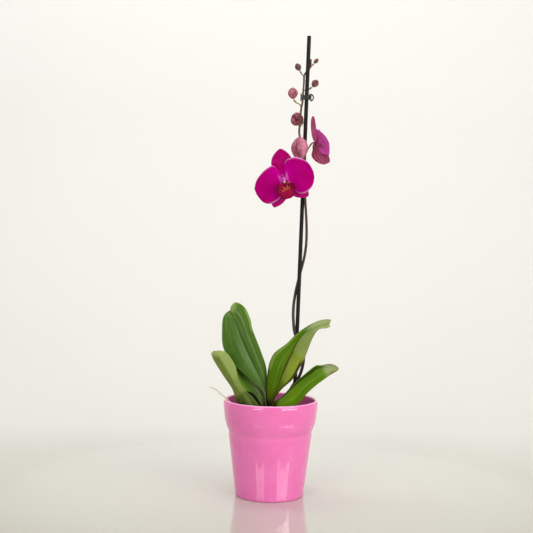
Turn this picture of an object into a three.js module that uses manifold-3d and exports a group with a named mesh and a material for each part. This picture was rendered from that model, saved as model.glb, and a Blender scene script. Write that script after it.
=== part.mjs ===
// Potted moth orchid: a glazed cover pot, the culture pot and bark inside it, five strap leaves on a
// short crown, one flower spike wound round a thin stake, a small sprung clip that holds the two
// together, two open blooms and six buds.
// Millimetres, +Z up. The origin is the centre of the pot's flat underside. The front is -Y.

import * as THREE from 'three';
import { mergeVertices } from 'three/addons/utils/BufferGeometryUtils.js';
import Module from 'manifold-3d';

const wasm = await Module();
wasm.setup();

// Cover pot: a straight tapering cup with a collar that flares out above a soft crease.
const POT_HEIGHT = 138;
const POT_BASE_RADIUS = 49.2;
const POT_SHOULDER_RADIUS = 60;
const POT_SHOULDER_HEIGHT = 87.5;
const POT_CREASE_RADIUS = 59.4;
const POT_CREASE_HEIGHT = 91;
const POT_RIM_RADIUS = 67.8;
const POT_RIM_ROUNDING = 7;
const POT_WALL = 4.6;
const POT_FLOOR = 6;
const POT_SEGMENTS = 38;

// Culture pot: thin plastic, standing on the floor of the cover pot.
const CULTURE_POT_FOOT = POT_FLOOR + 0.3;
const CULTURE_POT_RIM = 114.5;
const CULTURE_POT_BASE_RADIUS = 42.4;
const CULTURE_POT_TOP_RADIUS = 53.2;
const CULTURE_POT_LIP_RADIUS = 56.5;
const CULTURE_POT_WALL = 1.1;
const CULTURE_POT_SEGMENTS = 26;
const DRAIN_HOLES = 6;
const DRAIN_HOLE_RADIUS = 3.5;
const DRAIN_CIRCLE_RADIUS = 33;

// Bark: a bed that fills the culture pot, with loose chips standing out of its top.
const BARK_TOP = 101;
const BARK_CHIPS = 16;
const BARK_SPREAD = 38;
const BARK_SPIRAL_ANGLE = 2.39996;
const BARK_SEED = 11;

// Crown: the short stem that carries the leaves, standing in the bark.
const CROWN_X = -2;
const CROWN_Y = -1;
const CROWN_FOOT = 100;

// Stake: a straight dark rod that leans a little to the right.
const STAKE_RADIUS = 2.85;
const STAKE_Y = 12;
const STAKE_FOOT = new THREE.Vector3(31.5, STAKE_Y, 9);
const STAKE_TOP = new THREE.Vector3(46.7, STAKE_Y, 661.5);
const STAKE_DIRECTION = STAKE_TOP.clone().sub(STAKE_FOOT).normalize();

// Flower spike: radius at its root and at its growing tip, and of the stalks of buds and blooms.
const SPIKE_ROOT_RADIUS = 2.4;
const SPIKE_TIP_RADIUS = 1.25;
const STALK_RADIUS = 0.9;

// Clip: two jaws on one pin, closed round the stake and the spike at this height.
const CLIP_HEIGHT = 573;
const CLIP_PIN_OFFSET = 5.0;
const CLIP_PIN_RADIUS = 0.8;
const CLIP_KNUCKLE_RADIUS = 1.8;
const CLIP_KNUCKLE_BORE = 1.15;
const CLIP_JAW_HEIGHT = 6;
const CLIP_PAD_WIDTH = 4.8;
const CLIP_PAD_HEIGHT = 11;
const CLIP_WINDOW_WIDTH = 2.5;
const CLIP_WINDOW_HEIGHT = 7;
const CLIP_SPRING_RADIUS = 1.45;
const CLIP_SPRING_TURNS = 3;

const GAP = 0.3;
const CLEARANCE = 0.8;

const COLOURS = {
  glaze: { color: 0xe77ab1, roughness: 0.16, metalness: 0 },
  plastic: { color: 0x5a4a42, roughness: 0.5, metalness: 0 },
  bark: { color: 0x5b3c28, roughness: 0.95, metalness: 0 },
  root: { color: 0x9aa486, roughness: 0.75, metalness: 0 },
  crown: { color: 0x4f4326, roughness: 0.6, metalness: 0 },
  husk: { color: 0x17110d, roughness: 0.9, metalness: 0 },
  leaf: { color: 0x587c26, roughness: 0.4, metalness: 0 },
  youngLeaf: { color: 0x7f9035, roughness: 0.45, metalness: 0 },
  stem: { color: 0x6b4a3a, roughness: 0.55, metalness: 0 },
  stake: { color: 0x1f1b1b, roughness: 0.35, metalness: 0 },
  clip: { color: 0x2b3129, roughness: 0.3, metalness: 0 },
  steel: { color: 0xb8b8b2, roughness: 0.25, metalness: 1 },
  petal: { color: 0xb0046e, roughness: 0.6, metalness: 0 },
  lip: { color: 0x7f143e, roughness: 0.55, metalness: 0 },
  column: { color: 0xbf509e, roughness: 0.5, metalness: 0 },
  bud: { color: 0x9a5f66, roughness: 0.6, metalness: 0 },
};

const point = (coordinates) => new THREE.Vector3(...coordinates);

// Random draws are seeded, so the part is the same every time.
function makeRandom(seed) {
  let state = seed;
  return (low, high) => {
    state = (state * 1664525 + 1013904223) % 4294967296;
    return low + (high - low) * (state / 4294967296);
  };
}

// Merge shared vertices, drop the triangles that vanish with them, and turn the faces outward.
function weld(geometry) {
  geometry.deleteAttribute('normal');
  geometry.deleteAttribute('uv');
  const merged = mergeVertices(geometry, 1e-4);
  const position = merged.attributes.position;
  const index = merged.index.array;
  const kept = [];
  const [a, b, c] = [new THREE.Vector3(), new THREE.Vector3(), new THREE.Vector3()];
  let volume = 0;
  for (let i = 0; i < index.length; i += 3) {
    const [p, q, r] = [index[i], index[i + 1], index[i + 2]];
    if (p === q || q === r || r === p) continue;
    kept.push(p, q, r);
    a.fromBufferAttribute(position, p);
    b.fromBufferAttribute(position, q);
    c.fromBufferAttribute(position, r);
    volume += a.dot(b.cross(c));
  }
  if (volume < 0) kept.reverse();
  merged.setIndex(kept);
  return merged;
}

function toSolid(geometry) {
  const closed = weld(geometry);
  return new wasm.Manifold(new wasm.Mesh({
    numProp: 3,
    vertProperties: new Float32Array(closed.attributes.position.array),
    triVerts: new Uint32Array(closed.index.array),
  }));
}

// A cut can leave scraps, so only the largest body is kept.
function toGeometry(solid) {
  const bodies = solid.decompose().sort((one, other) => other.volume() - one.volume());
  const mesh = bodies[0].getMesh();
  const geometry = new THREE.BufferGeometry();
  geometry.setAttribute('position', new THREE.BufferAttribute(mesh.vertProperties, 3));
  geometry.setIndex(new THREE.BufferAttribute(mesh.triVerts, 1));
  return geometry;
}

const joinAll = (solids) => solids.reduce((whole, piece) => whole.add(piece));
const cutAll = (solid, tools) => tools.reduce((rest, tool) => rest.subtract(tool), solid);

// Surface normal of point(u, v) by finite differences, for u from -1 to 1 and v from 0 to 1.
function normalAt(surface, u, v) {
  const step = 0.02;
  const along = surface(u, Math.min(v + step, 1)).sub(surface(u, Math.max(v - step, 0)));
  const across = surface(Math.min(u + step, 1), v).sub(surface(Math.max(u - step, -1), v));
  return across.cross(along).normalize();
}

// A blade such as a leaf or a petal: a grid on its middle surface is moved half the thickness to
// each side and closed round the rim. Both faces are split into triangles alike.
function bladeGeometry(surface, thickness, across, along) {
  const columns = across + 1;
  const layer = columns * (along + 1);
  const positions = [];
  for (const side of [1, -1]) {
    for (let j = 0; j <= along; j++) {
      for (let i = 0; i <= across; i++) {
        const u = -1 + (2 * i) / across;
        const v = j / along;
        const place = surface(u, v).addScaledVector(normalAt(surface, u, v), (side * thickness(u, v)) / 2);
        positions.push(place.x, place.y, place.z);
      }
    }
  }
  const indices = [];
  const quad = (a, b, c, d) => indices.push(a, b, c, a, c, d);
  for (let j = 0; j < along; j++) {
    for (let i = 0; i < across; i++) {
      const a = j * columns + i;
      quad(a, a + 1, a + 1 + columns, a + columns);
      indices.push(layer + a, layer + a + columns + 1, layer + a + 1);
      indices.push(layer + a, layer + a + columns, layer + a + columns + 1);
    }
  }
  const rim = [];
  for (let i = 0; i < across; i++) rim.push([i, i + 1]);
  for (let j = 0; j < along; j++) rim.push([j * columns + across, (j + 1) * columns + across]);
  for (let i = across; i > 0; i--) rim.push([along * columns + i, along * columns + i - 1]);
  for (let j = along; j > 0; j--) rim.push([j * columns, (j - 1) * columns]);
  for (const [from, to] of rim) quad(to, from, from + layer, to + layer);
  const geometry = new THREE.BufferGeometry();
  geometry.setAttribute('position', new THREE.Float32BufferAttribute(positions, 3));
  geometry.setIndex(indices);
  return geometry;
}

// A smooth curve through points, with both ends carried on by the overrun.
function curveThrough(points, overrun = 0) {
  const places = points.map(point);
  const [second, beforeLast] = [places[1].clone(), places[places.length - 2].clone()];
  const [first, last] = [places[0], places[places.length - 1]];
  first.addScaledVector(second.sub(first).normalize(), -overrun);
  last.addScaledVector(beforeLast.sub(last).normalize(), -overrun);
  return new THREE.CatmullRomCurve3(places, false, 'centripetal');
}

// A stem: a cylinder bent along a curve, with a radius that changes along it.
function stemGeometry(points, radiusAt, sides, steps, overrun = 0) {
  const curve = curveThrough(points, overrun);
  const frames = curve.computeFrenetFrames(steps, false);
  const geometry = new THREE.CylinderGeometry(1, 1, 1, sides, steps);
  const position = geometry.attributes.position;
  for (let i = 0; i < position.count; i++) {
    const row = Math.round((position.getY(i) + 0.5) * steps);
    const radius = radiusAt(row / steps);
    const place = curve.getPointAt(row / steps);
    place.addScaledVector(frames.normals[row], position.getX(i) * radius);
    place.addScaledVector(frames.binormals[row], -position.getZ(i) * radius);
    position.setXYZ(i, place.x, place.y, place.z);
  }
  return geometry;
}

const latheGeometry = (profile, segments) =>
  new THREE.LatheGeometry(profile.map(([r, z]) => new THREE.Vector2(r, z)), segments).rotateX(Math.PI / 2);

// A cylinder from one point to another.
function rodGeometry(from, to, radius, sides) {
  const length = from.distanceTo(to);
  const geometry = new THREE.CylinderGeometry(radius, radius, length, sides);
  const turn = new THREE.Quaternion().setFromUnitVectors(
    new THREE.Vector3(0, 1, 0), to.clone().sub(from).normalize());
  return geometry.applyQuaternion(turn).translate(...from.clone().add(to).multiplyScalar(0.5));
}

const part = new THREE.Group();

function addPiece(name, geometry, colour) {
  const mesh = new THREE.Mesh(weld(geometry), new THREE.MeshStandardMaterial(COLOURS[colour]));
  mesh.name = name;
  part.add(mesh);
}

// Cover pot

// The wall goes in a little above the shoulder and flares out again as the collar.
const COLLAR = [[60.7, 94.5], [63.1, 100.5], [65.6, 110], [67.1, 122]];

function coverPot() {
  const lipRadius = POT_WALL / 2;
  const lipCentre = POT_RIM_RADIUS - lipRadius;
  const rim = [];
  const lip = [];
  for (let step = 0; step <= 3; step++) {
    const angle = (Math.PI * step) / 6;
    rim.push([lipCentre + lipRadius * Math.cos(angle),
      POT_HEIGHT - POT_RIM_ROUNDING + POT_RIM_ROUNDING * Math.sin(angle)]);
  }
  for (let step = 3; step <= 4; step++) {
    const angle = (Math.PI * step) / 4;
    lip.push([lipCentre + lipRadius * Math.cos(angle),
      POT_HEIGHT - lipRadius + lipRadius * Math.sin(angle)]);
  }
  const inside = [COLLAR[3], COLLAR[1], [POT_SHOULDER_RADIUS, POT_SHOULDER_HEIGHT]];
  return latheGeometry([
    [0, 0], [POT_BASE_RADIUS - 1.4, 0], [POT_BASE_RADIUS, 1.6], [POT_SHOULDER_RADIUS, POT_SHOULDER_HEIGHT],
    [POT_CREASE_RADIUS, POT_CREASE_HEIGHT], ...COLLAR, ...rim, ...lip,
    ...inside.map(([r, z]) => [r - POT_WALL, z]),
    [POT_BASE_RADIUS - POT_WALL + 0.6, POT_FLOOR + 4], [POT_BASE_RADIUS - POT_WALL - 2.6, POT_FLOOR],
    [0, POT_FLOOR],
  ], POT_SEGMENTS);
}

// Culture pot

const cultureRadiusAt = (z) => CULTURE_POT_BASE_RADIUS
  + ((CULTURE_POT_TOP_RADIUS - CULTURE_POT_BASE_RADIUS) * (z - CULTURE_POT_FOOT))
  / (CULTURE_POT_RIM - CULTURE_POT_FOOT);

function culturePot() {
  const underLip = CULTURE_POT_RIM - 3;
  const outer = cultureRadiusAt(underLip);
  const floor = CULTURE_POT_FOOT + 1.3;
  const cup = toSolid(latheGeometry([
    [0, CULTURE_POT_FOOT], [CULTURE_POT_BASE_RADIUS - 1.5, CULTURE_POT_FOOT],
    [CULTURE_POT_BASE_RADIUS, CULTURE_POT_FOOT + 1.5], [outer, underLip],
    [CULTURE_POT_LIP_RADIUS - 0.9, underLip + 0.2], [CULTURE_POT_LIP_RADIUS, CULTURE_POT_RIM - 1],
    [CULTURE_POT_LIP_RADIUS - 1, CULTURE_POT_RIM], [outer - CULTURE_POT_WALL, CULTURE_POT_RIM - 0.6],
    [CULTURE_POT_BASE_RADIUS - CULTURE_POT_WALL, floor + 1], [CULTURE_POT_BASE_RADIUS - 2.2, floor],
    [0, floor],
  ], CULTURE_POT_SEGMENTS));
  const holes = [];
  for (let hole = 0; hole < DRAIN_HOLES; hole++) {
    const angle = (2 * Math.PI * hole) / DRAIN_HOLES;
    const centre = [DRAIN_CIRCLE_RADIUS * Math.cos(angle), DRAIN_CIRCLE_RADIUS * Math.sin(angle)];
    holes.push(toSolid(rodGeometry(point([...centre, CULTURE_POT_FOOT - 2]), point([...centre, floor + 2]),
      DRAIN_HOLE_RADIUS, 10)));
  }
  return toGeometry(cutAll(cup, holes));
}

// Leaves. Each one is three curves, its left margin, its midrib and its right margin as seen from
// the front, from the sheath that clasps the crown up to the tip, with each half bowed between them.

const LEAVES = {
  leaf_left_tall: {
    colour: 'leaf', bow: 0.09,
    left: [[-5, -8.2, 119], [-7.4, -5.6, 134.4], [-9.4, -3.6, 146.5], [-14.2, -2.8, 153.2],
      [-20.3, -2.4, 158.2], [-34, -1, 170], [-52, 2, 185], [-69.5, 4, 210], [-72, 8, 238],
      [-71, 12, 253], [-67, 15, 260], [-62, 18, 263.5]],
    midrib: [[-9.1, -1, 118], [-7.7, 0.6, 134], [-9, 2.4, 149.4], [-13, 3, 162], [-20, 4, 176],
      [-35.5, 8, 208], [-43, 10, 225], [-50, 13, 241], [-61, 18, 262]],
    right: [[-5, 6.4, 119], [-6.4, 5, 136], [-6.4, 4, 157], [-6.8, 3.2, 181], [-15, 3.6, 206],
      [-28.5, 6, 240], [-30.5, 8, 250], [-39.5, 13, 268.5], [-47, 15.5, 274], [-54, 17.5, 275.5],
      [-60, 18.5, 270]],
  },
  leaf_left_inner: {
    colour: 'leaf', bow: -0.05,
    left: [[-6, -9.6, 114], [-20.9, -7, 127.5], [-29.8, -4.6, 139.9], [-39.4, -0.4, 149],
      [-49.2, 6, 163.8], [-54, 12, 181.8], [-57, 19, 195]],
    midrib: [[-12.1, -1, 113], [-11.6, 0, 130.5], [-16.9, 2, 141], [-23.6, 3, 150.1],
      [-29.6, 6, 159.8], [-36.3, 11, 169.8], [-44.7, 16, 184.4], [-55.5, 21, 197.5]],
    right: [[-6, 8.8, 114], [-5, 9, 132], [-7, 12, 152], [-15, 16, 170], [-28, 20, 188],
      [-42, 23, 199], [-53, 22.5, 200]],
  },
  leaf_left_low: {
    colour: 'youngLeaf', bow: 0.05,
    left: [[-8, 10.6, 109], [-25, 5, 113], [-42, -3, 124], [-50.5, -7, 138], [-55, -7.4, 152],
      [-69, -7.6, 172.5], [-85, -7, 198.5], [-86, -7, 204], [-82, -7.6, 207.5]],
    midrib: [[-14.8, -1, 108], [-23, -7, 115], [-31, -10.5, 126], [-40, -11, 142], [-50.5, -10.8, 158],
      [-63, -10.4, 179.5], [-75.5, -9.6, 199.5], [-79, -9, 207]],
    right: [[-8, -12.2, 109], [-10.2, -14.2, 119], [-15.4, -14.4, 129], [-25.1, -13, 141.1],
      [-33.2, -12, 149], [-42.2, -11.2, 159.2], [-47.6, -10, 171.5], [-51.5, -9.4, 186.5],
      [-61, -9, 201.5], [-67, -8.6, 206.5], [-76, -8.8, 208.2]],
  },
  leaf_right_high: {
    colour: 'leaf', bow: 0.08,
    left: [[-3, 5.4, 121], [-5.6, 2.6, 131], [-6.5, 0, 145], [-6.8, -1.4, 158], [-5.2, -3, 177],
      [-1.8, -5, 194], [4.6, -8, 206], [20.8, -10, 219], [34, -11, 232.5], [47.5, -12, 243],
      [65, -15, 253], [80, -19, 256.2], [84, -20, 255]],
    midrib: [[5, -1, 119], [4.4, -2, 135], [8, -1.5, 150], [14, -1, 166], [23, -3, 190.5],
      [29, -4, 204], [37, -5, 221], [44.5, -7, 232], [62, -12, 243], [81.6, -19.3, 249.8]],
    right: [[1.5, -9.2, 121], [3.4, -10, 136], [13.7, -10, 152], [30.5, -12, 168.5], [41.5, -13, 187],
      [46.5, -14, 197], [50.5, -15, 208.5], [58.8, -18, 230.5], [67, -21, 242], [76.5, -21, 243.4],
      [82.6, -20.6, 245.4]],
  },
  leaf_right_low: {
    colour: 'leaf', bow: 0.08,
    left: [[1.5, 10, 115], [-0.4, 10, 126], [3.8, 7.8, 132.8], [12.8, 6.2, 138.1], [20.6, 6, 145.2],
      [30, 5.5, 156], [46.5, 5, 172], [65.5, 3, 187.5], [71, 1, 187.4], [83, -4, 190.5],
      [91, -8, 189.5], [96.5, -12, 186]],
    midrib: [[8.1, -1, 114], [8.6, -3, 124], [10.5, -2, 133.5], [18.6, 0, 140.5], [30, 1.5, 152.4],
      [40.5, 1.5, 162], [49.3, 1, 169.5], [58, 0, 175.5], [66.3, -3, 182.4], [84.3, -9, 186],
      [96, -12.5, 184.5]],
    right: [[2.5, -11.4, 115], [13, -18, 123], [28, -20, 130], [40, -19, 134.8], [50.3, -19, 148.4],
      [62.3, -18.5, 160], [82.3, -18, 175.2], [96, -14, 183.4]],
  },
  old_sheath: {
    colour: 'husk', bow: 0.12, columns: 4, rows: 8,
    left: [[-11.6, -7.8, 113.6], [-15, -11, 120.1], [-19.8, -12.2, 129.5], [-26.9, -10.4, 138.6],
      [-33.5, -8.8, 145.7], [-36.2, -8.4, 149.4]],
    midrib: [[-10, -9.8, 113.5], [-12.6, -12, 121.6], [-17.1, -12, 131.3], [-24.3, -10.2, 140.6],
      [-30.5, -8.6, 146.5], [-35.6, -8, 150]],
    right: [[-8, -11.4, 113.6], [-10.1, -11.8, 123], [-14, -11.2, 132.5], [-19.8, -9.2, 141.4],
      [-26.6, -7.8, 147.6], [-34.6, -7.6, 150.2]],
  },
};

const LEAF_COLUMNS = 8;
const LEAF_ROWS = 13;
const LEAF_MIDRIB_THICKNESS = 2.4;
const LEAF_MARGIN_THICKNESS = 1.1;

function leafGeometry({ left, midrib, right, bow, columns = LEAF_COLUMNS, rows = LEAF_ROWS }, extra) {
  const curves = [left, midrib, right].map((places) => curveThrough(places, extra / 2));
  const surface = (u, v) => {
    const rib = curves[1].getPointAt(v);
    const margin = curves[u < 0 ? 0 : 2].getPointAt(v);
    const side = margin.clone().sub(rib);
    const towardsFront = curves[1].getTangentAt(v).cross(side).multiplyScalar(u < 0 ? 1 : -1).normalize();
    const height = bow * side.length() * Math.sin(Math.PI * Math.abs(u));
    return rib.addScaledVector(side, Math.abs(u)).addScaledVector(towardsFront, height);
  };
  const thickness = (u, v) => extra + LEAF_MARGIN_THICKNESS
    + (LEAF_MIDRIB_THICKNESS - LEAF_MARGIN_THICKNESS) * (1 - Math.abs(u)) ** 1.5 * (1 - 0.5 * v);
  return bladeGeometry(surface, thickness, columns, rows);
}

// Crown, with a wide foot for the lowest leaf and a step up to each pair above it

const CROWN_PROFILE = [[0, CROWN_FOOT], [9.6, CROWN_FOOT], [10.2, 104], [10, 109], [6.4, 112.6],
  [6.2, 116.6], [4.9, 118.4], [4.4, 124], [3, 126.4], [0, 127]];

const crownSolid = () => toSolid(latheGeometry(CROWN_PROFILE, 12).translate(CROWN_X, CROWN_Y, 0));

// Roots: thick silvery cords from the foot of the crown, out over the bark and down into it.
// Each one is given by its direction in degrees, how far it runs, how high it arches and its sweep.

const ROOTS = [
  { heading: 205, reach: 40, arch: 108, sweep: 26 },
  { heading: 262, reach: 34, arch: 107, sweep: -30 },
  { heading: 318, reach: 38, arch: 107.5, sweep: 24 },
  { heading: 72, reach: 30, arch: 107, sweep: 30 },
  { heading: 112, reach: 38, arch: 109, sweep: -22 },
  { heading: 158, reach: 36, arch: 107.5, sweep: 28 },
];
const ROOT_RADIUS = 2.5;
const AERIAL_ROOT = [[-10, -3, 97], [-24, -6, 104], [-40, -11, 113], [-52, -11, 126],
  [-61.6, -10.4, 138.4], [-68, -10, 142.6], [-77, -10, 150.8], [-88, -10, 156.1]];

function rootGeometry({ heading, reach, arch, sweep }, extra) {
  const at = (distance, z, turn) => {
    const angle = THREE.MathUtils.degToRad(heading + turn);
    return [CROWN_X + distance * Math.cos(angle), CROWN_Y + distance * Math.sin(angle), z];
  };
  const path = [at(5, 92, 0), at(12, 97.5, 0), at(0.5 * reach, arch - 3, 0.3 * sweep),
    at(0.75 * reach, arch - 3.2, 0.65 * sweep), at(reach, 97, sweep), at(reach + 2, 84, sweep)];
  return stemGeometry(path, (t) => ROOT_RADIUS * (1 - 0.2 * t) + extra, 6, 10, extra);
}

// All roots start from one short round foot under the crown.
function rootsSolid(extra) {
  const top = CROWN_FOOT - GAP + extra;
  const profile = [[0, 84 - extra], [8 + extra, 86 - extra], [10 + extra, 92], [10 + extra, top],
    [0, top]];
  const base = toSolid(latheGeometry(profile, 12).translate(CROWN_X, CROWN_Y, 0));
  const aerial = toSolid(stemGeometry(AERIAL_ROOT, (t) => 1.1 - 0.5 * t + extra, 5, 12, extra));
  return joinAll([base, aerial, ...ROOTS.map((root) => toSolid(rootGeometry(root, extra)))]);
}

// Flower spike: it comes out beside the crown, winds behind and before the stake, and carries a
// stalk for each bloom and bud. A bud's or bloom's own place is the last point of its stalk.

const SPIKE = [[-1.8, 10.6, 104], [0.4, 13, 107.5], [7, 16, 114], [15, 16, 126], [23, 15.5, 139],
  [33, 17.4, 157], [41, 15, 169], [46.5, 12, 190], [45.5, 8.5, 206], [40, 6.2, 220], [33.5, 7.6, 233],
  [31, 11, 252], [31, 12.5, 272], [34, 16.6, 293], [39, 17.4, 316], [45, 14.5, 341], [47.6, 12, 361],
  [47.9, 11, 382], [46.8, 9.5, 404], [45, 7.8, 427], [44.2, 6.7, 455], [42.9, 6.5, 486], [38.6, 7.6, 504],
  [34.8, 10, 521], [35.9, 11, 540], [37.2, 12, 558], [38.7, 12.2, 566], [39, 12.2, 575],
  [39.8, 12.4, 585], [40.4, 12.8, 597], [40.6, 14.2, 605], [44.6, 17, 611.5], [49.2, 15.6, 617.5],
  [49.9, 14.8, 628.5]];

const STALKS = {
  bloom_front: [[44.6, 7, 438], [40, -2, 441], [30, -13, 447], [19, -22.5, 452], [14, -27, 453],
    [13.2, -29.5, 453.4]],
  bloom_side: [[42.8, 6.6, 487], [45.8, 7.6, 494], [50.2, 9.6, 503], [53.4, 11.2, 507.4],
    [56.1, 12.6, 508.8]],
  bud_opening: [[36.2, 8.8, 511], [35.8, 5, 517.5], [35.5, 0, 518.5], [35.4, -4.2, 515.3]],
  bud_round: [[35.4, 10.8, 531], [39, 13, 534.5], [39.8, 16.4, 538.5], [36.6, 16.8, 540.4]],
  bud_left: [[36.9, 12, 561], [33, 10.4, 564], [29, 9, 565.6], [26, 8.2, 569.2]],
  bud_right: [[39.8, 12.6, 583.5], [43, 17.6, 584.5], [48, 17.4, 586], [52, 16.4, 588.6]],
  bud_high_left: [[40.5, 13.6, 604], [38, 14, 606], [35.8, 14, 608.6], [34.6, 14, 611]],
  bud_high_right: [[49.6, 15.4, 618], [52.2, 14.4, 619.8], [54, 14, 622]],
};

// A stalk is thicker at both ends than in its middle.
const stalkRadiusAt = (t) => STALK_RADIUS * (1.35 - 0.5 * Math.sin(Math.PI * Math.min(1, 1.4 * t)));

function spikeSolid(extra) {
  const spike = toSolid(stemGeometry(SPIKE, (t) => extra + SPIKE_ROOT_RADIUS
    + (SPIKE_TIP_RADIUS - SPIKE_ROOT_RADIUS) * t ** 1.3, 6, 58, extra));
  const stalks = Object.values(STALKS).map(
    (places) => toSolid(stemGeometry(places, (t) => extra + stalkRadiusAt(t), 5, 5)));
  const bracts = Object.values(STALKS).map(
    (places) => toSolid(bractGeometry(point(places[0]), point(places[1]))));
  return joinAll([spike, ...stalks, ...bracts]);
}

// A bract: the small scale under each stalk, a cone that leans out along the stalk.
function bractGeometry(root, outward) {
  const lean = outward.clone().sub(root).normalize();
  const foot = root.clone().addScaledVector(lean, 0.4).add(new THREE.Vector3(0, 0, -2.2));
  const cone = new THREE.CylinderGeometry(0.25, 1.5, 4.6, 5);
  const turn = new THREE.Quaternion().setFromUnitVectors(
    new THREE.Vector3(0, 1, 0), lean.multiplyScalar(0.75).add(new THREE.Vector3(0, 0, 1)).normalize());
  return cone.applyQuaternion(turn).translate(foot.x, foot.y, foot.z + 1.2);
}

// Bark

function barkSolid() {
  const wall = CULTURE_POT_WALL + 1.2;
  const foot = CULTURE_POT_FOOT + 2;
  const bed = toSolid(latheGeometry([[0, foot], [CULTURE_POT_BASE_RADIUS - 2.6, foot],
    [cultureRadiusAt(foot + 3) - wall, foot + 3], [cultureRadiusAt(BARK_TOP) - wall, BARK_TOP],
    [38, BARK_TOP + 0.8], [20, BARK_TOP - 0.5], [0, BARK_TOP - 1]], 18));
  const random = makeRandom(BARK_SEED);
  const chips = [];
  for (let chip = 0; chip < BARK_CHIPS; chip++) {
    const size = [random(9, 17), random(6, 11), random(4, 7)];
    const box = new THREE.BoxGeometry(...size);
    const corner = box.attributes.position;
    const skew = [random(-0.25, 0.25), random(-0.25, 0.25)];
    for (let i = 0; i < corner.count; i++) {
      const shrink = corner.getZ(i) > 0 ? 0.78 : 1;
      corner.setX(i, corner.getX(i) * shrink + skew[0] * corner.getY(i));
      corner.setY(i, corner.getY(i) * shrink + skew[1] * corner.getX(i));
    }
    box.rotateX(random(-0.45, 0.45));
    box.rotateY(random(-0.45, 0.45));
    box.rotateZ(random(0, Math.PI));
    const distance = BARK_SPREAD * Math.sqrt((chip + 0.5) / BARK_CHIPS);
    const angle = chip * BARK_SPIRAL_ANGLE;
    chips.push(toSolid(box.translate(distance * Math.cos(angle), distance * Math.sin(angle),
      BARK_TOP + random(-1, 2.2))));
  }
  return joinAll([bed, ...chips]);
}

// Blooms. A flower's own frame: x to the viewer's right, y up, z out towards the viewer.
// A tepal is given by its bearing clockwise from straight up, its length and width, the power that
// sets where it is widest, its forward lean, and how far its tip bends back and its sides cup.
// A broad petal has a margin on each side instead, given by its distance from the petal's middle line
// at even steps from claw to tip. The margin runs smoothly between them and is rounded off at the tip.
// Its shoulders say how far each margin, widest near the claw, is set back past the claw.

const SEPAL_THICKNESS = 1.0;
const PETAL_COLUMNS = 6;
const PETAL_ROWS = 8;
const TEPAL_ROOT = 1.6;
const TEPAL_CLAW = 1.4;
const PETAL_ROUNDING = 6;
const SHOULDER_PLACE = 0.15;
const SHOULDER_SPREAD = 0.12;
const LIP_THICKNESS = 0.9;

function marginAt(distances, t) {
  const place = t * (distances.length - 1);
  const first = Math.floor(place);
  const share = place - first;
  const [before, from, to, after] = [-1, 0, 1, 2].map(
    (k) => distances[THREE.MathUtils.clamp(first + k, 0, distances.length - 1)]);
  const start = (to - before) / 2;
  const stop = (after - from) / 2;
  const distance = from + start * share + (3 * (to - from) - 2 * start - stop) * share ** 2
    + (start + stop - 2 * (to - from)) * share ** 3;
  return distance * Math.sqrt(1 - t ** PETAL_ROUNDING);
}

function tepalGeometry({ bearing, length, width, power, blunt, margins, shoulders = [0, 0], lean,
  recurve, cup, layer, wave = 0, twist = 0 }) {
  const angle = THREE.MathUtils.degToRad(bearing);
  const tilt = THREE.MathUtils.degToRad(lean);
  const outward = new THREE.Vector3(Math.sin(angle), Math.cos(angle), 0);
  const sideways = new THREE.Vector3(Math.cos(angle), -Math.sin(angle), 0);
  const front = new THREE.Vector3(0, 0, 1);
  const turned = THREE.MathUtils.degToRad(twist);
  const surface = (u, v) => {
    const t = 0.01 + 0.975 * v;
    const halfWidth = margins ? marginAt(margins[u < 0 ? 0 : 1], t)
      : (width / 2) * Math.max(Math.sin(Math.PI * t ** power), 0) ** blunt + TEPAL_CLAW * (1 - t) ** 6;
    const setBack = shoulders[u < 0 ? 0 : 1] * u * u
      * Math.exp(-(((t - SHOULDER_PLACE) / SHOULDER_SPREAD) ** 2));
    const reach = TEPAL_ROOT + length * t * (1 + 0.06 * u * u * Math.sin(Math.PI * t)) - setBack;
    const forward = layer + reach * Math.sin(tilt) - recurve * t * t
      + cup * u * u * Math.sin(Math.PI * t) + wave * Math.sin(4 * Math.PI * t) * u * u * u;
    const roll = turned * Math.min(1, 2.2 * t);
    return outward.clone().multiplyScalar(reach * Math.cos(tilt))
      .addScaledVector(sideways, halfWidth * u * Math.cos(roll))
      .addScaledVector(front, forward + halfWidth * u * Math.sin(roll));
  };
  return bladeGeometry(surface, () => SEPAL_THICKNESS, PETAL_COLUMNS, PETAL_ROWS);
}

function ballGeometry(centre, radii, across, up) {
  return new THREE.SphereGeometry(1, across, up).scale(...radii).translate(...centre);
}

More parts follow.
